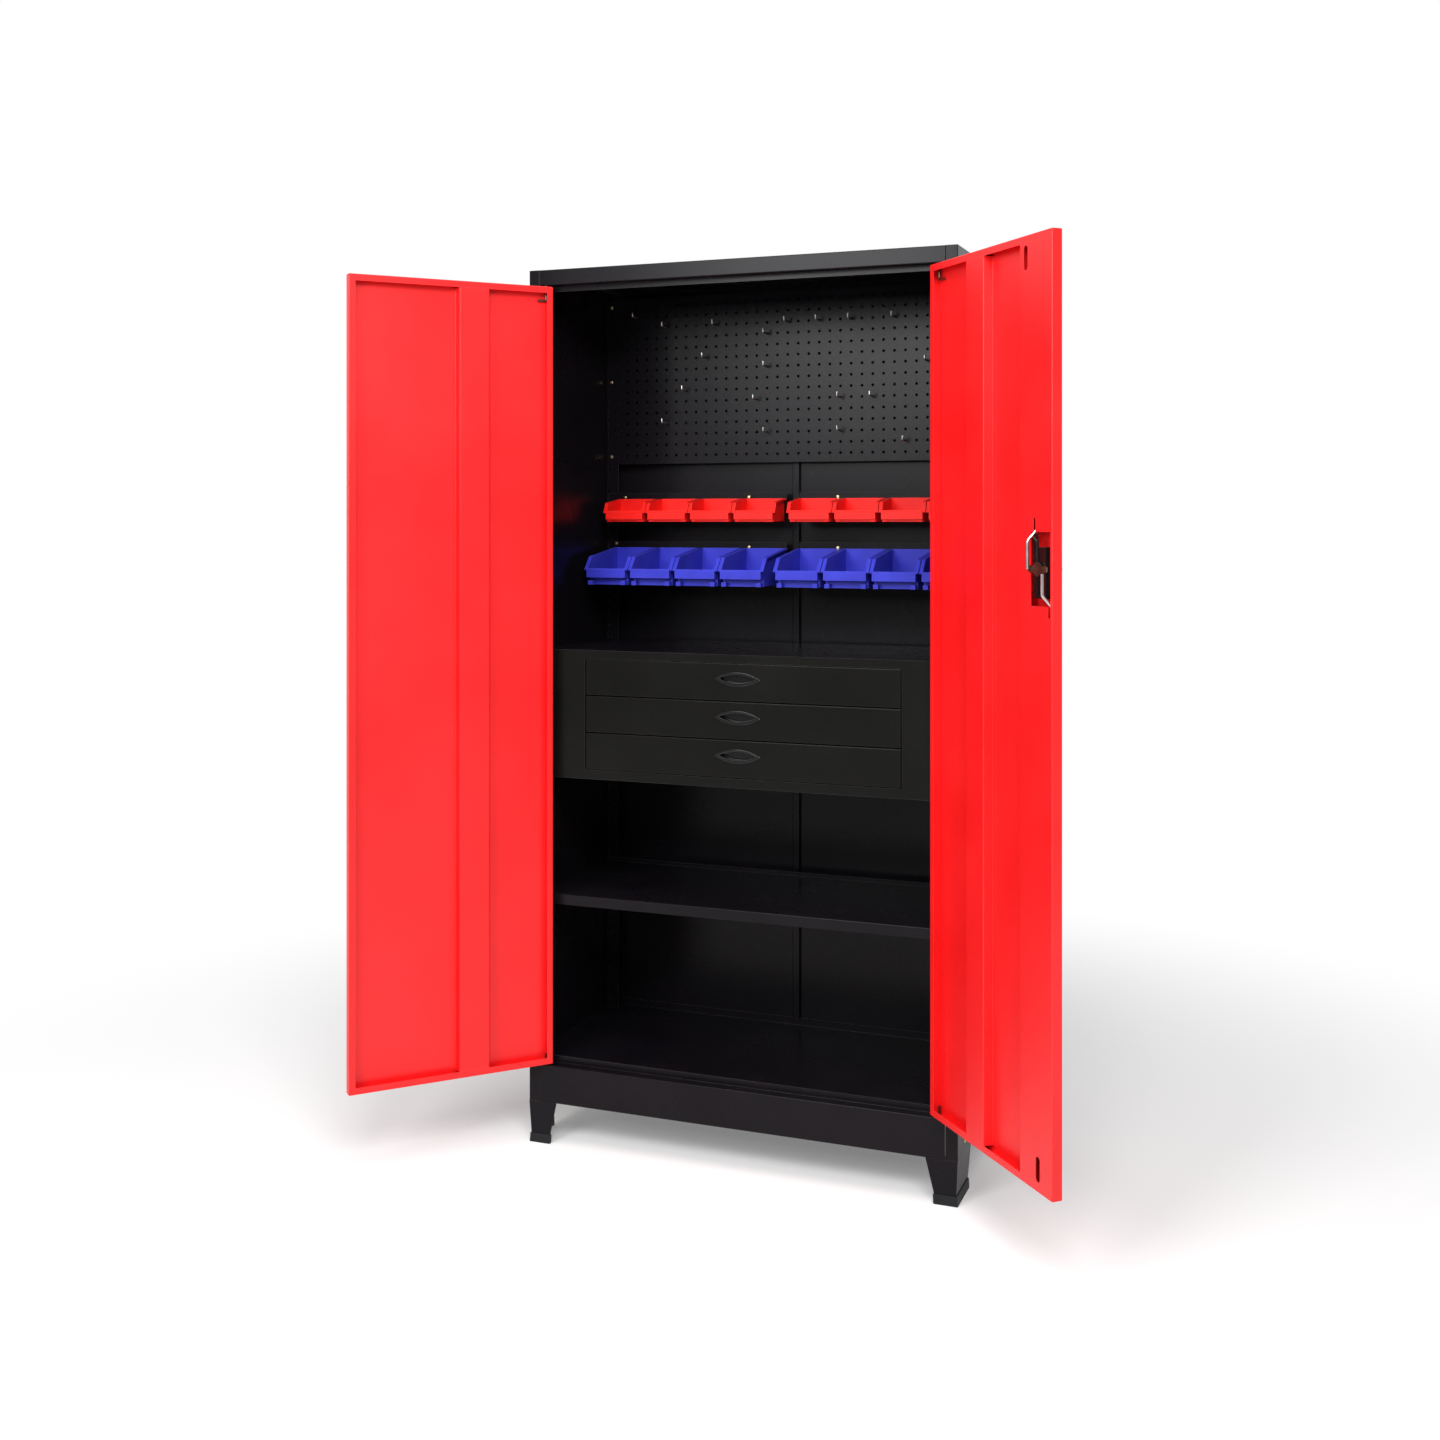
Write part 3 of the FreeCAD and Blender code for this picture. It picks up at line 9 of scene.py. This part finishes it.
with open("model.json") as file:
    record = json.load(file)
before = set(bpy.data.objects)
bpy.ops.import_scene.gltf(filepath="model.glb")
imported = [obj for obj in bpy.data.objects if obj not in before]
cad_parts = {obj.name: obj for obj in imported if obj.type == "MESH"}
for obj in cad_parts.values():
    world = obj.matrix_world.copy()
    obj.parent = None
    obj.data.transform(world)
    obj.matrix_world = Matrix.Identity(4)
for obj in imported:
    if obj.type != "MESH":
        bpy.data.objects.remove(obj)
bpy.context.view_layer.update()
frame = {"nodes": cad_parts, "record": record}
nodes = frame["nodes"]
record = frame["record"]

# Camera of the photograph: place in metres, turn and tilt in degrees, lens in millimetres
CAMERA_PLACE = (1.141, -3.195, 1.285)
CAMERA_TURN = 21.3
CAMERA_LENS = 40.7
CAMERA_SENSOR = 36.0
CAMERA_SHIFT_Y = -0.139
LEVEL_TILT = 90.0

# Floor: lit near the object, plain white further out
FLOOR_HALF = 15.0
FLOOR_DROP = 0.0005
FLOOR_COLOUR = (0.82, 0.82, 0.82, 1)
FLOOR_GLOW = 0.20
FLOOR_GRAIN_SCALE = 40.0
FLOOR_ROUGH = (0.85, 0.95)
WHITE_FROM = 0.9
WHITE_TO = 2.3
WHITE = (1.0, 1.0, 1.0, 1)
WORLD_FILL = 0.30

# Reflections of the room in front are dimmed, between these two values of Y
FRONT_DIM_SHARE = 0.15
DIM_FROM = 0.1
DIM_TO = -0.6

# Lights: name, place, aim, width, height, power
LIGHTS = (
    ("left_softbox", (-0.80, -3.5, 2.5), (0.1, 0.0, 1.45), 1.3, 1.7, 72),
    ("right_softbox", (1.5, -3.4, 3.3), (-0.1, 0.0, 1.20), 2.0, 1.5, 125),
    ("top_softbox", (0.0, -1.2, 4.4), (0.0, -0.2, 0.0), 3.4, 2.4, 76),
)

# Edge rounding of the moulded pieces
WELD_DISTANCE = 0.00002
EDGE_ANGLE = 35.0
BIN_EDGE = 0.0007
CAP_EDGE = 0.0012
PULL_EDGE = 0.0025
EDGE_STEPS = 2

# Values that several materials share
RAMP_LOW = 0.32
RAMP_HIGH = 0.68
NOISE_DETAIL = 3.0
FULL_SHARE = 1.0

# Edge marks, where a small rounding would turn the surface: rubbed wear and painted edge highlights, and
# painted shade round the peg holes
WEAR_AND_PAINTED_LIGHT_RADIUS = 0.0012
WEAR_AND_PAINTED_LIGHT_SAMPLES = 4
WEAR_AND_PAINTED_LIGHT_FLAT = 0.995
WEAR_AND_PAINTED_LIGHT_SHARP = 0.86
WEAR_AND_PAINTED_LIGHT_PATCH_SCALE = 35.0
WEAR_AND_PAINTED_LIGHT_PATCH = (0.15, 1.0)

# Powder coat: orange peel and cloudy gloss
PEEL_SCALE = 420.0
PEEL_STRENGTH = 0.12
PEEL_DEPTH = 0.0004
CLOUD_SCALE = 5.0
BLACK_COAT = ((0.0042, 0.0034, 0.0050, 1), (0.0066, 0.0055, 0.0076, 1))
UNIT_COAT = ((0.0040, 0.0042, 0.0038, 1), (0.0060, 0.0063, 0.0057, 1))
BLACK_ROUGH = (0.22, 0.32)
BLACK_SPECULAR = 0.15
# Edge colour of the black coat: rubbed wear, lightened further as a painted edge highlight
BLACK_WORN_AND_HIGHLIGHT = (0.075, 0.073, 0.078, 1)
BLACK_WORN_ROUGH = 0.30
# Darker edge colour of the peg panel: painted shade round the holes
PANEL_EDGE_SHADE = (0.0020, 0.0017, 0.0023, 1)
PANEL_EDGE_ROUGH = 0.95
RED_COAT = ((0.78, 0.0065, 0.0080, 1), (0.85, 0.0110, 0.0125, 1))
RED_ROUGH = (0.34, 0.44)
RED_SPECULAR = 0.5
# Edge colour of the red coat: rubbed wear and a painted edge highlight, paler than the coat
RED_WORN_AND_HIGHLIGHT = (0.96, 0.060, 0.060, 1)
RED_WORN_ROUGH = 0.40

# Moulded plastic: flow marks and spark-eroded grain
FLOW_SCALE = 18.0
GRAIN_SCALE = 1600.0
GRAIN_STRENGTH = 0.08
GRAIN_DEPTH = 0.0002
BIN_RED = ((0.86, 0.0105, 0.0080, 1), (0.95, 0.0160, 0.0120, 1))
# Paler red along the bin edges: a painted highlight on the rims
BIN_RED_EDGE_HIGHLIGHT = (1.0, 0.050, 0.034, 1)
BIN_BLUE = ((0.030, 0.035, 0.44, 1), (0.041, 0.048, 0.54, 1))
# Paler blue along the bin edges: a painted highlight on the rims
BIN_BLUE_EDGE_HIGHLIGHT = (0.095, 0.115, 0.78, 1)
BIN_ROUGH = (0.32, 0.44)
BIN_SPECULAR = 0.2
PLASTIC_BLACK = ((0.0040, 0.0040, 0.0042, 1), (0.0065, 0.0065, 0.0068, 1))
PLASTIC_ROUGH = (0.10, 0.17)
PLASTIC_EDGE = (0.016, 0.016, 0.017, 1)
# Grey on the drawer pulls' edges: a painted highlight on the rims
PULL_RIM_HIGHLIGHT = (0.170, 0.170, 0.178, 1)
CAP_GREY = ((0.011, 0.012, 0.014, 1), (0.018, 0.019, 0.022, 1))
CAP_ROUGH = (0.44, 0.58)
CAP_EDGE_COLOUR = (0.035, 0.037, 0.042, 1)
PLASTIC_SPECULAR = 0.4
CAP_SPECULAR = 0.15

# Plated steel: mottled tint and fine drawing marks
MOTTLE_SCALE = 60.0
STREAK_SCALE = 900.0
STREAK_STRENGTH = 0.06
STREAK_DEPTH = 0.0002
ZINC = ((0.50, 0.50, 0.49, 1), (0.66, 0.66, 0.64, 1))
ZINC_ROUGH = (0.24, 0.40)
YELLOW_ZINC = ((0.62, 0.50, 0.26, 1), (0.80, 0.68, 0.42, 1))
YELLOW_ROUGH = (0.22, 0.38)
DARK_ZINC = ((0.115, 0.090, 0.062, 1), (0.210, 0.170, 0.120, 1))
DARK_ROUGH = (0.30, 0.46)
CHROME = ((0.70, 0.70, 0.71, 1), (0.80, 0.80, 0.81, 1))
CHROME_ROUGH = (0.08, 0.18)

# Pieces that look different from the rest of their slot
PULLS = ("drawer_pull_1", "drawer_pull_2", "drawer_pull_3")
UNIT_PIECES = ("drawer_unit_frame", "drawer_tray_1", "drawer_tray_2", "drawer_tray_3")
DARK_PIECES = ("lock_cam", "left_top_pin", "right_top_pin", "left_lower_pin", "right_lower_pin")


# Material helpers

def new_material(name):
    material = bpy.data.materials.new(name)
    material.use_nodes = True
    return material, material.node_tree.nodes, material.node_tree.links


def noise(tree_nodes, links, coordinates, scale):
    texture = tree_nodes.new("ShaderNodeTexNoise")
    texture.inputs["Scale"].default_value = scale
    texture.inputs["Detail"].default_value = NOISE_DETAIL
    links.new(coordinates, texture.inputs["Vector"])
    return texture.outputs["Fac"]


def colour_mix(tree_nodes, links, factor, colours):
    ramp = tree_nodes.new("ShaderNodeValToRGB")
    low, high = ramp.color_ramp.elements
    low.position = RAMP_LOW
    high.position = RAMP_HIGH
    low.color, high.color = colours
    links.new(factor, ramp.inputs["Fac"])
    return ramp.outputs["Color"]


def spread(tree_nodes, links, factor, span):
    mapped = tree_nodes.new("ShaderNodeMapRange")
    mapped.inputs["To Min"].default_value, mapped.inputs["To Max"].default_value = span
    links.new(factor, mapped.inputs["Value"])
    return mapped.outputs["Result"]


def add_bump(tree_nodes, links, height, shader, strength, distance):
    bump = tree_nodes.new("ShaderNodeBump")
    bump.inputs["Strength"].default_value = strength
    bump.inputs["Distance"].default_value = distance
    links.new(height, bump.inputs["Height"])
    links.new(bump.outputs["Normal"], shader.inputs["Normal"])


def object_coordinates(tree_nodes):
    return tree_nodes.new("ShaderNodeTexCoord").outputs["Object"]


def combine(tree_nodes, links, operation, first, second):
    result = tree_nodes.new("ShaderNodeMath")
    result.operation = operation
    links.new(first, result.inputs[0])
    links.new(second, result.inputs[1])
    return result.outputs["Value"]


# Edge mask: rubbed wear and painted edge highlights, and painted shade round the peg holes
def edge_wear_and_painted_light(tree_nodes, links, place):
    """1 along edges in uneven patches, 0 on flat faces."""
    rounding = tree_nodes.new("ShaderNodeBevel")
    rounding.samples = WEAR_AND_PAINTED_LIGHT_SAMPLES
    rounding.inputs["Radius"].default_value = WEAR_AND_PAINTED_LIGHT_RADIUS
    geometry = tree_nodes.new("ShaderNodeNewGeometry")
    turn = tree_nodes.new("ShaderNodeVectorMath")
    turn.operation = "DOT_PRODUCT"
    links.new(rounding.outputs["Normal"], turn.inputs[0])
    links.new(geometry.outputs["Normal"], turn.inputs[1])
    mapped = tree_nodes.new("ShaderNodeMapRange")
    mapped.inputs["From Min"].default_value = WEAR_AND_PAINTED_LIGHT_FLAT
    mapped.inputs["From Max"].default_value = WEAR_AND_PAINTED_LIGHT_SHARP
    links.new(turn.outputs["Value"], mapped.inputs["Value"])
    patches = spread(tree_nodes, links, noise(tree_nodes, links, place, WEAR_AND_PAINTED_LIGHT_PATCH_SCALE), WEAR_AND_PAINTED_LIGHT_PATCH)
    return combine(tree_nodes, links, "MULTIPLY", mapped.outputs["Result"], patches)


# Mixes the edge colour in along the mask, which paints wear and edge highlights, and shade on the peg
# panel
def wear_and_painted_light_colour(tree_nodes, links, wear_and_painted_light, colour, worn_and_painted_light_edge):
    mixed = tree_nodes.new("ShaderNodeMixRGB")
    links.new(wear_and_painted_light, mixed.inputs["Fac"])
    links.new(colour, mixed.inputs["Color1"])
    mixed.inputs["Color2"].default_value = worn_and_painted_light_edge
    return mixed.outputs["Color"]


def worn_gloss(tree_nodes, links, wear_and_painted_light, rough, worn_rough):
    mapped = tree_nodes.new("ShaderNodeMapRange")
    links.new(wear_and_painted_light, mapped.inputs["Value"])
    links.new(rough, mapped.inputs["To Min"])
    mapped.inputs["To Max"].default_value = worn_rough
    return mapped.outputs["Result"]


def powder_coat(name, colours, worn_and_painted_light_edge, rough, worn_rough, specular):
    """Baked powder coat: cloudy colour, fine orange peel, uneven gloss, and edges mixed towards the given
    edge colour: rubbed wear with a painted highlight on the black and red coats, painted shade round the
    holes of the peg panel.
    """
    material, tree_nodes, links = new_material(name)
    shader = tree_nodes["Principled BSDF"]
    place = object_coordinates(tree_nodes)
    cloud = noise(tree_nodes, links, place, CLOUD_SCALE)
    peel = noise(tree_nodes, links, place, PEEL_SCALE)
    wear_and_painted_light = edge_wear_and_painted_light(tree_nodes, links, place)
    colour = colour_mix(tree_nodes, links, cloud, colours)
    links.new(wear_and_painted_light_colour(tree_nodes, links, wear_and_painted_light, colour, worn_and_painted_light_edge), shader.inputs["Base Color"])
    gloss = spread(tree_nodes, links, cloud, rough)
    links.new(worn_gloss(tree_nodes, links, wear_and_painted_light, gloss, worn_rough), shader.inputs["Roughness"])
    shader.inputs["Specular IOR Level"].default_value = specular
    add_bump(tree_nodes, links, peel, shader, PEEL_STRENGTH, PEEL_DEPTH)
    return material


def moulded(name, colours, worn_and_painted_light_edge, rough, specular):
    """Injection-moulded plastic: slight flow marks, a fine spark-eroded grain, paler edges, which on the
    bins and the drawer pulls are a painted highlight.
    """
    material, tree_nodes, links = new_material(name)
    shader = tree_nodes["Principled BSDF"]
    place = object_coordinates(tree_nodes)
    flow = noise(tree_nodes, links, place, FLOW_SCALE)
    grain = noise(tree_nodes, links, place, GRAIN_SCALE)
    wear_and_painted_light = edge_wear_and_painted_light(tree_nodes, links, place)
    colour = colour_mix(tree_nodes, links, flow, colours)
    links.new(wear_and_painted_light_colour(tree_nodes, links, wear_and_painted_light, colour, worn_and_painted_light_edge), shader.inputs["Base Color"])
    links.new(spread(tree_nodes, links, grain, rough), shader.inputs["Roughness"])
    shader.inputs["Specular IOR Level"].default_value = specular
    add_bump(tree_nodes, links, grain, shader, GRAIN_STRENGTH, GRAIN_DEPTH)
    return material


def plated(name, colours, rough):
    """Plated steel: a mottled tint and fine drawing marks."""
    material, tree_nodes, links = new_material(name)
    shader = tree_nodes["Principled BSDF"]
    place = object_coordinates(tree_nodes)
    mottle = noise(tree_nodes, links, place, MOTTLE_SCALE)
    streak = noise(tree_nodes, links, place, STREAK_SCALE)
    links.new(colour_mix(tree_nodes, links, mottle, colours), shader.inputs["Base Color"])
    links.new(spread(tree_nodes, links, streak, rough), shader.inputs["Roughness"])
    shader.inputs["Metallic"].default_value = FULL_SHARE
    add_bump(tree_nodes, links, streak, shader, STREAK_STRENGTH, STREAK_DEPTH)
    return material


def finishes():
    """One material for each slot of the record."""
    return {
        "black_enamel": powder_coat("black_coat", BLACK_COAT, BLACK_WORN_AND_HIGHLIGHT, BLACK_ROUGH,
                                    BLACK_WORN_ROUGH, BLACK_SPECULAR),
        "red_enamel": powder_coat("red_coat", RED_COAT, RED_WORN_AND_HIGHLIGHT, RED_ROUGH, RED_WORN_ROUGH, RED_SPECULAR),
        "red_plastic": moulded("red_bin", BIN_RED, BIN_RED_EDGE_HIGHLIGHT, BIN_ROUGH, BIN_SPECULAR),
        "blue_plastic": moulded("blue_bin", BIN_BLUE, BIN_BLUE_EDGE_HIGHLIGHT, BIN_ROUGH, BIN_SPECULAR),
        "black_plastic": moulded("black_plastic", PLASTIC_BLACK, PLASTIC_EDGE, PLASTIC_ROUGH,
                                 PLASTIC_SPECULAR),
        "black_rubber": moulded("foot_cap", CAP_GREY, CAP_EDGE_COLOUR, CAP_ROUGH, CAP_SPECULAR),
        "zinc_wire": plated("zinc_plate", ZINC, ZINC_ROUGH),
        "yellow_zinc": plated("yellow_zinc_plate", YELLOW_ZINC, YELLOW_ROUGH),
        "chrome": plated("bright_chrome", CHROME, CHROME_ROUGH),
    }


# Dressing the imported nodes

def repaint(names, material):
    for name in names:
        nodes[name].data.materials.clear()
        nodes[name].data.materials.append(material)


def dress_nodes():
    """The finish of each slot, then the pieces that look different from the rest of their slot."""
    materials = finishes()
    for entry in record["subparts"]:
        repaint((entry["node"],), materials[entry["material_slot"]])
    repaint(DARK_PIECES, plated("passivated_zinc", DARK_ZINC, DARK_ROUGH))
    # Pull edges mixed to a grey painted highlight
    repaint(PULLS, moulded("drawer_pull", PLASTIC_BLACK, PULL_RIM_HIGHLIGHT, PLASTIC_ROUGH, PLASTIC_SPECULAR))
    unit_coat = powder_coat("unit_coat", UNIT_COAT, BLACK_WORN_AND_HIGHLIGHT, BLACK_ROUGH, BLACK_WORN_ROUGH,
                            BLACK_SPECULAR)
    repaint(UNIT_PIECES, unit_coat)
    # The peg panel's edges get painted shade round the holes
    panel_coat = powder_coat("panel_coat", BLACK_COAT, PANEL_EDGE_SHADE, BLACK_ROUGH, PANEL_EDGE_ROUGH,
                             BLACK_SPECULAR)
    repaint(("peg_panel",), panel_coat)


def round_edges(piece, width):
    """Small rounded edges, so that mouldings catch the light."""
    weld = piece.modifiers.new("join_faces", "WELD")
    weld.merge_threshold = WELD_DISTANCE
    bevel = piece.modifiers.new("soft_edge", "BEVEL")
    bevel.width = width
    bevel.segments = EDGE_STEPS
    bevel.limit_method = "ANGLE"
    bevel.angle_limit = math.radians(EDGE_ANGLE)
    bevel.harden_normals = True


def round_mouldings():
    for name, piece in nodes.items():
        if "_bin_" in name:
            round_edges(piece, BIN_EDGE)
        if name in PULLS:
            round_edges(piece, PULL_EDGE)
    round_edges(nodes["foot_caps"], CAP_EDGE)


# Stage, lights and camera

def seen_rays(tree_nodes, links, place):
    """1 for the camera, see-through pieces and reflections of the backdrop, dim for the room in front."""
    path = tree_nodes.new("ShaderNodeLightPath")
    axes = tree_nodes.new("ShaderNodeSeparateXYZ")
    links.new(place, axes.inputs["Vector"])
    room = tree_nodes.new("ShaderNodeMapRange")
    room.inputs["From Min"].default_value = DIM_FROM
    room.inputs["From Max"].default_value = DIM_TO
    room.inputs["To Min"].default_value = FULL_SHARE
    room.inputs["To Max"].default_value = FRONT_DIM_SHARE
    links.new(axes.outputs["Y"], room.inputs["Value"])
    glossy = combine(tree_nodes, links, "MULTIPLY", path.outputs["Is Glossy Ray"], room.outputs["Result"])
    camera = path.outputs["Is Camera Ray"]
    clear = combine(tree_nodes, links, "MAXIMUM", camera, path.outputs["Is Transmission Ray"])
    return combine(tree_nodes, links, "MAXIMUM", clear, glossy)


def far_from_object(tree_nodes, links):
    """0 around the object, 1 where the floor is far away."""
    distance = tree_nodes.new("ShaderNodeVectorMath")
    distance.operation = "LENGTH"
    links.new(object_coordinates(tree_nodes), distance.inputs[0])
    mapped = tree_nodes.new("ShaderNodeMapRange")
    mapped.interpolation_type = "SMOOTHSTEP"
    mapped.inputs["From Min"].default_value = WHITE_FROM
    mapped.inputs["From Max"].default_value = WHITE_TO
    links.new(distance.outputs["Value"], mapped.inputs["Value"])
    return mapped.outputs["Result"]


def floor_material():
    """Pale floor that keeps the shadow near the object and runs out to plain white."""
    material, tree_nodes, links = new_material("pale_floor")
    shader = tree_nodes["Principled BSDF"]
    grain = noise(tree_nodes, links, object_coordinates(tree_nodes), FLOOR_GRAIN_SCALE)
    links.new(spread(tree_nodes, links, grain, FLOOR_ROUGH), shader.inputs["Roughness"])
    shader.inputs["Base Color"].default_value = FLOOR_COLOUR
    shader.inputs["Specular IOR Level"].default_value = 0
    seen = seen_rays(tree_nodes, links, object_coordinates(tree_nodes))
    shader.inputs["Emission Color"].default_value = WHITE
    links.new(spread(tree_nodes, links, seen, (0, FLOOR_GLOW)), shader.inputs["Emission Strength"])
    white = tree_nodes.new("ShaderNodeEmission")
    white.inputs["Color"].default_value = WHITE
    mixed = tree_nodes.new("ShaderNodeMixShader")
    far = far_from_object(tree_nodes, links)
    links.new(combine(tree_nodes, links, "MULTIPLY", far, seen), mixed.inputs["Fac"])
    links.new(shader.outputs["BSDF"], mixed.inputs[1])
    links.new(white.outputs["Emission"], mixed.inputs[2])
    links.new(mixed.outputs["Shader"], tree_nodes["Material Output"].inputs["Surface"])
    return material


def make_floor():
    mesh = bpy.data.meshes.new("floor")
    corners = [
        (-FLOOR_HALF, -FLOOR_HALF, 0), (FLOOR_HALF, -FLOOR_HALF, 0),
        (FLOOR_HALF, FLOOR_HALF, 0), (-FLOOR_HALF, FLOOR_HALF, 0),
    ]
    mesh.from_pydata(corners, [], [(0, 1, 2, 3)])
    floor = bpy.data.objects.new("floor", mesh)
    floor.location.z = -FLOOR_DROP
    bpy.context.scene.collection.objects.link(floor)
    mesh.materials.append(floor_material())


def make_world():
    """White where the camera or a reflection looks, a plain fill for the rest."""
    world = bpy.data.worlds.new("studio")
    bpy.context.scene.world = world
    world.use_nodes = True
    tree_nodes, links = world.node_tree.nodes, world.node_tree.links
    background = tree_nodes["Background"]
    background.inputs["Color"].default_value = WHITE
    direction = tree_nodes.new("ShaderNodeTexCoord").outputs["Generated"]
    seen = seen_rays(tree_nodes, links, direction)
    path = tree_nodes.new("ShaderNodeLightPath")
    fill = spread(tree_nodes, links, path.outputs["Is Diffuse Ray"], (0, WORLD_FILL))
    links.new(combine(tree_nodes, links, "MAXIMUM", seen, fill), background.inputs["Strength"])


def make_lights():
    for name, place, aim, width, height, power in LIGHTS:
        data = bpy.data.lights.new(name, "AREA")
        data.shape = "RECTANGLE"
        data.size = width
        data.size_y = height
        data.energy = power
        lamp = bpy.data.objects.new(name, data)
        lamp.location = place
        direction = Vector(aim) - Vector(place)
        lamp.rotation_euler = direction.to_track_quat("-Z", "Y").to_euler()
        bpy.context.scene.collection.objects.link(lamp)


def make_camera():
    data = bpy.data.cameras.new("camera")
    data.sensor_width = CAMERA_SENSOR
    data.lens = CAMERA_LENS
    data.shift_y = CAMERA_SHIFT_Y
    camera = bpy.data.objects.new("camera", data)
    camera.location = CAMERA_PLACE
    camera.rotation_euler = (math.radians(LEVEL_TILT), 0, math.radians(CAMERA_TURN))
    bpy.context.scene.collection.objects.link(camera)
    bpy.context.scene.camera = camera


bpy.context.scene.view_settings.view_transform = "Standard"
dress_nodes()
round_mouldings()
make_floor()
make_world()
make_lights()
make_camera()
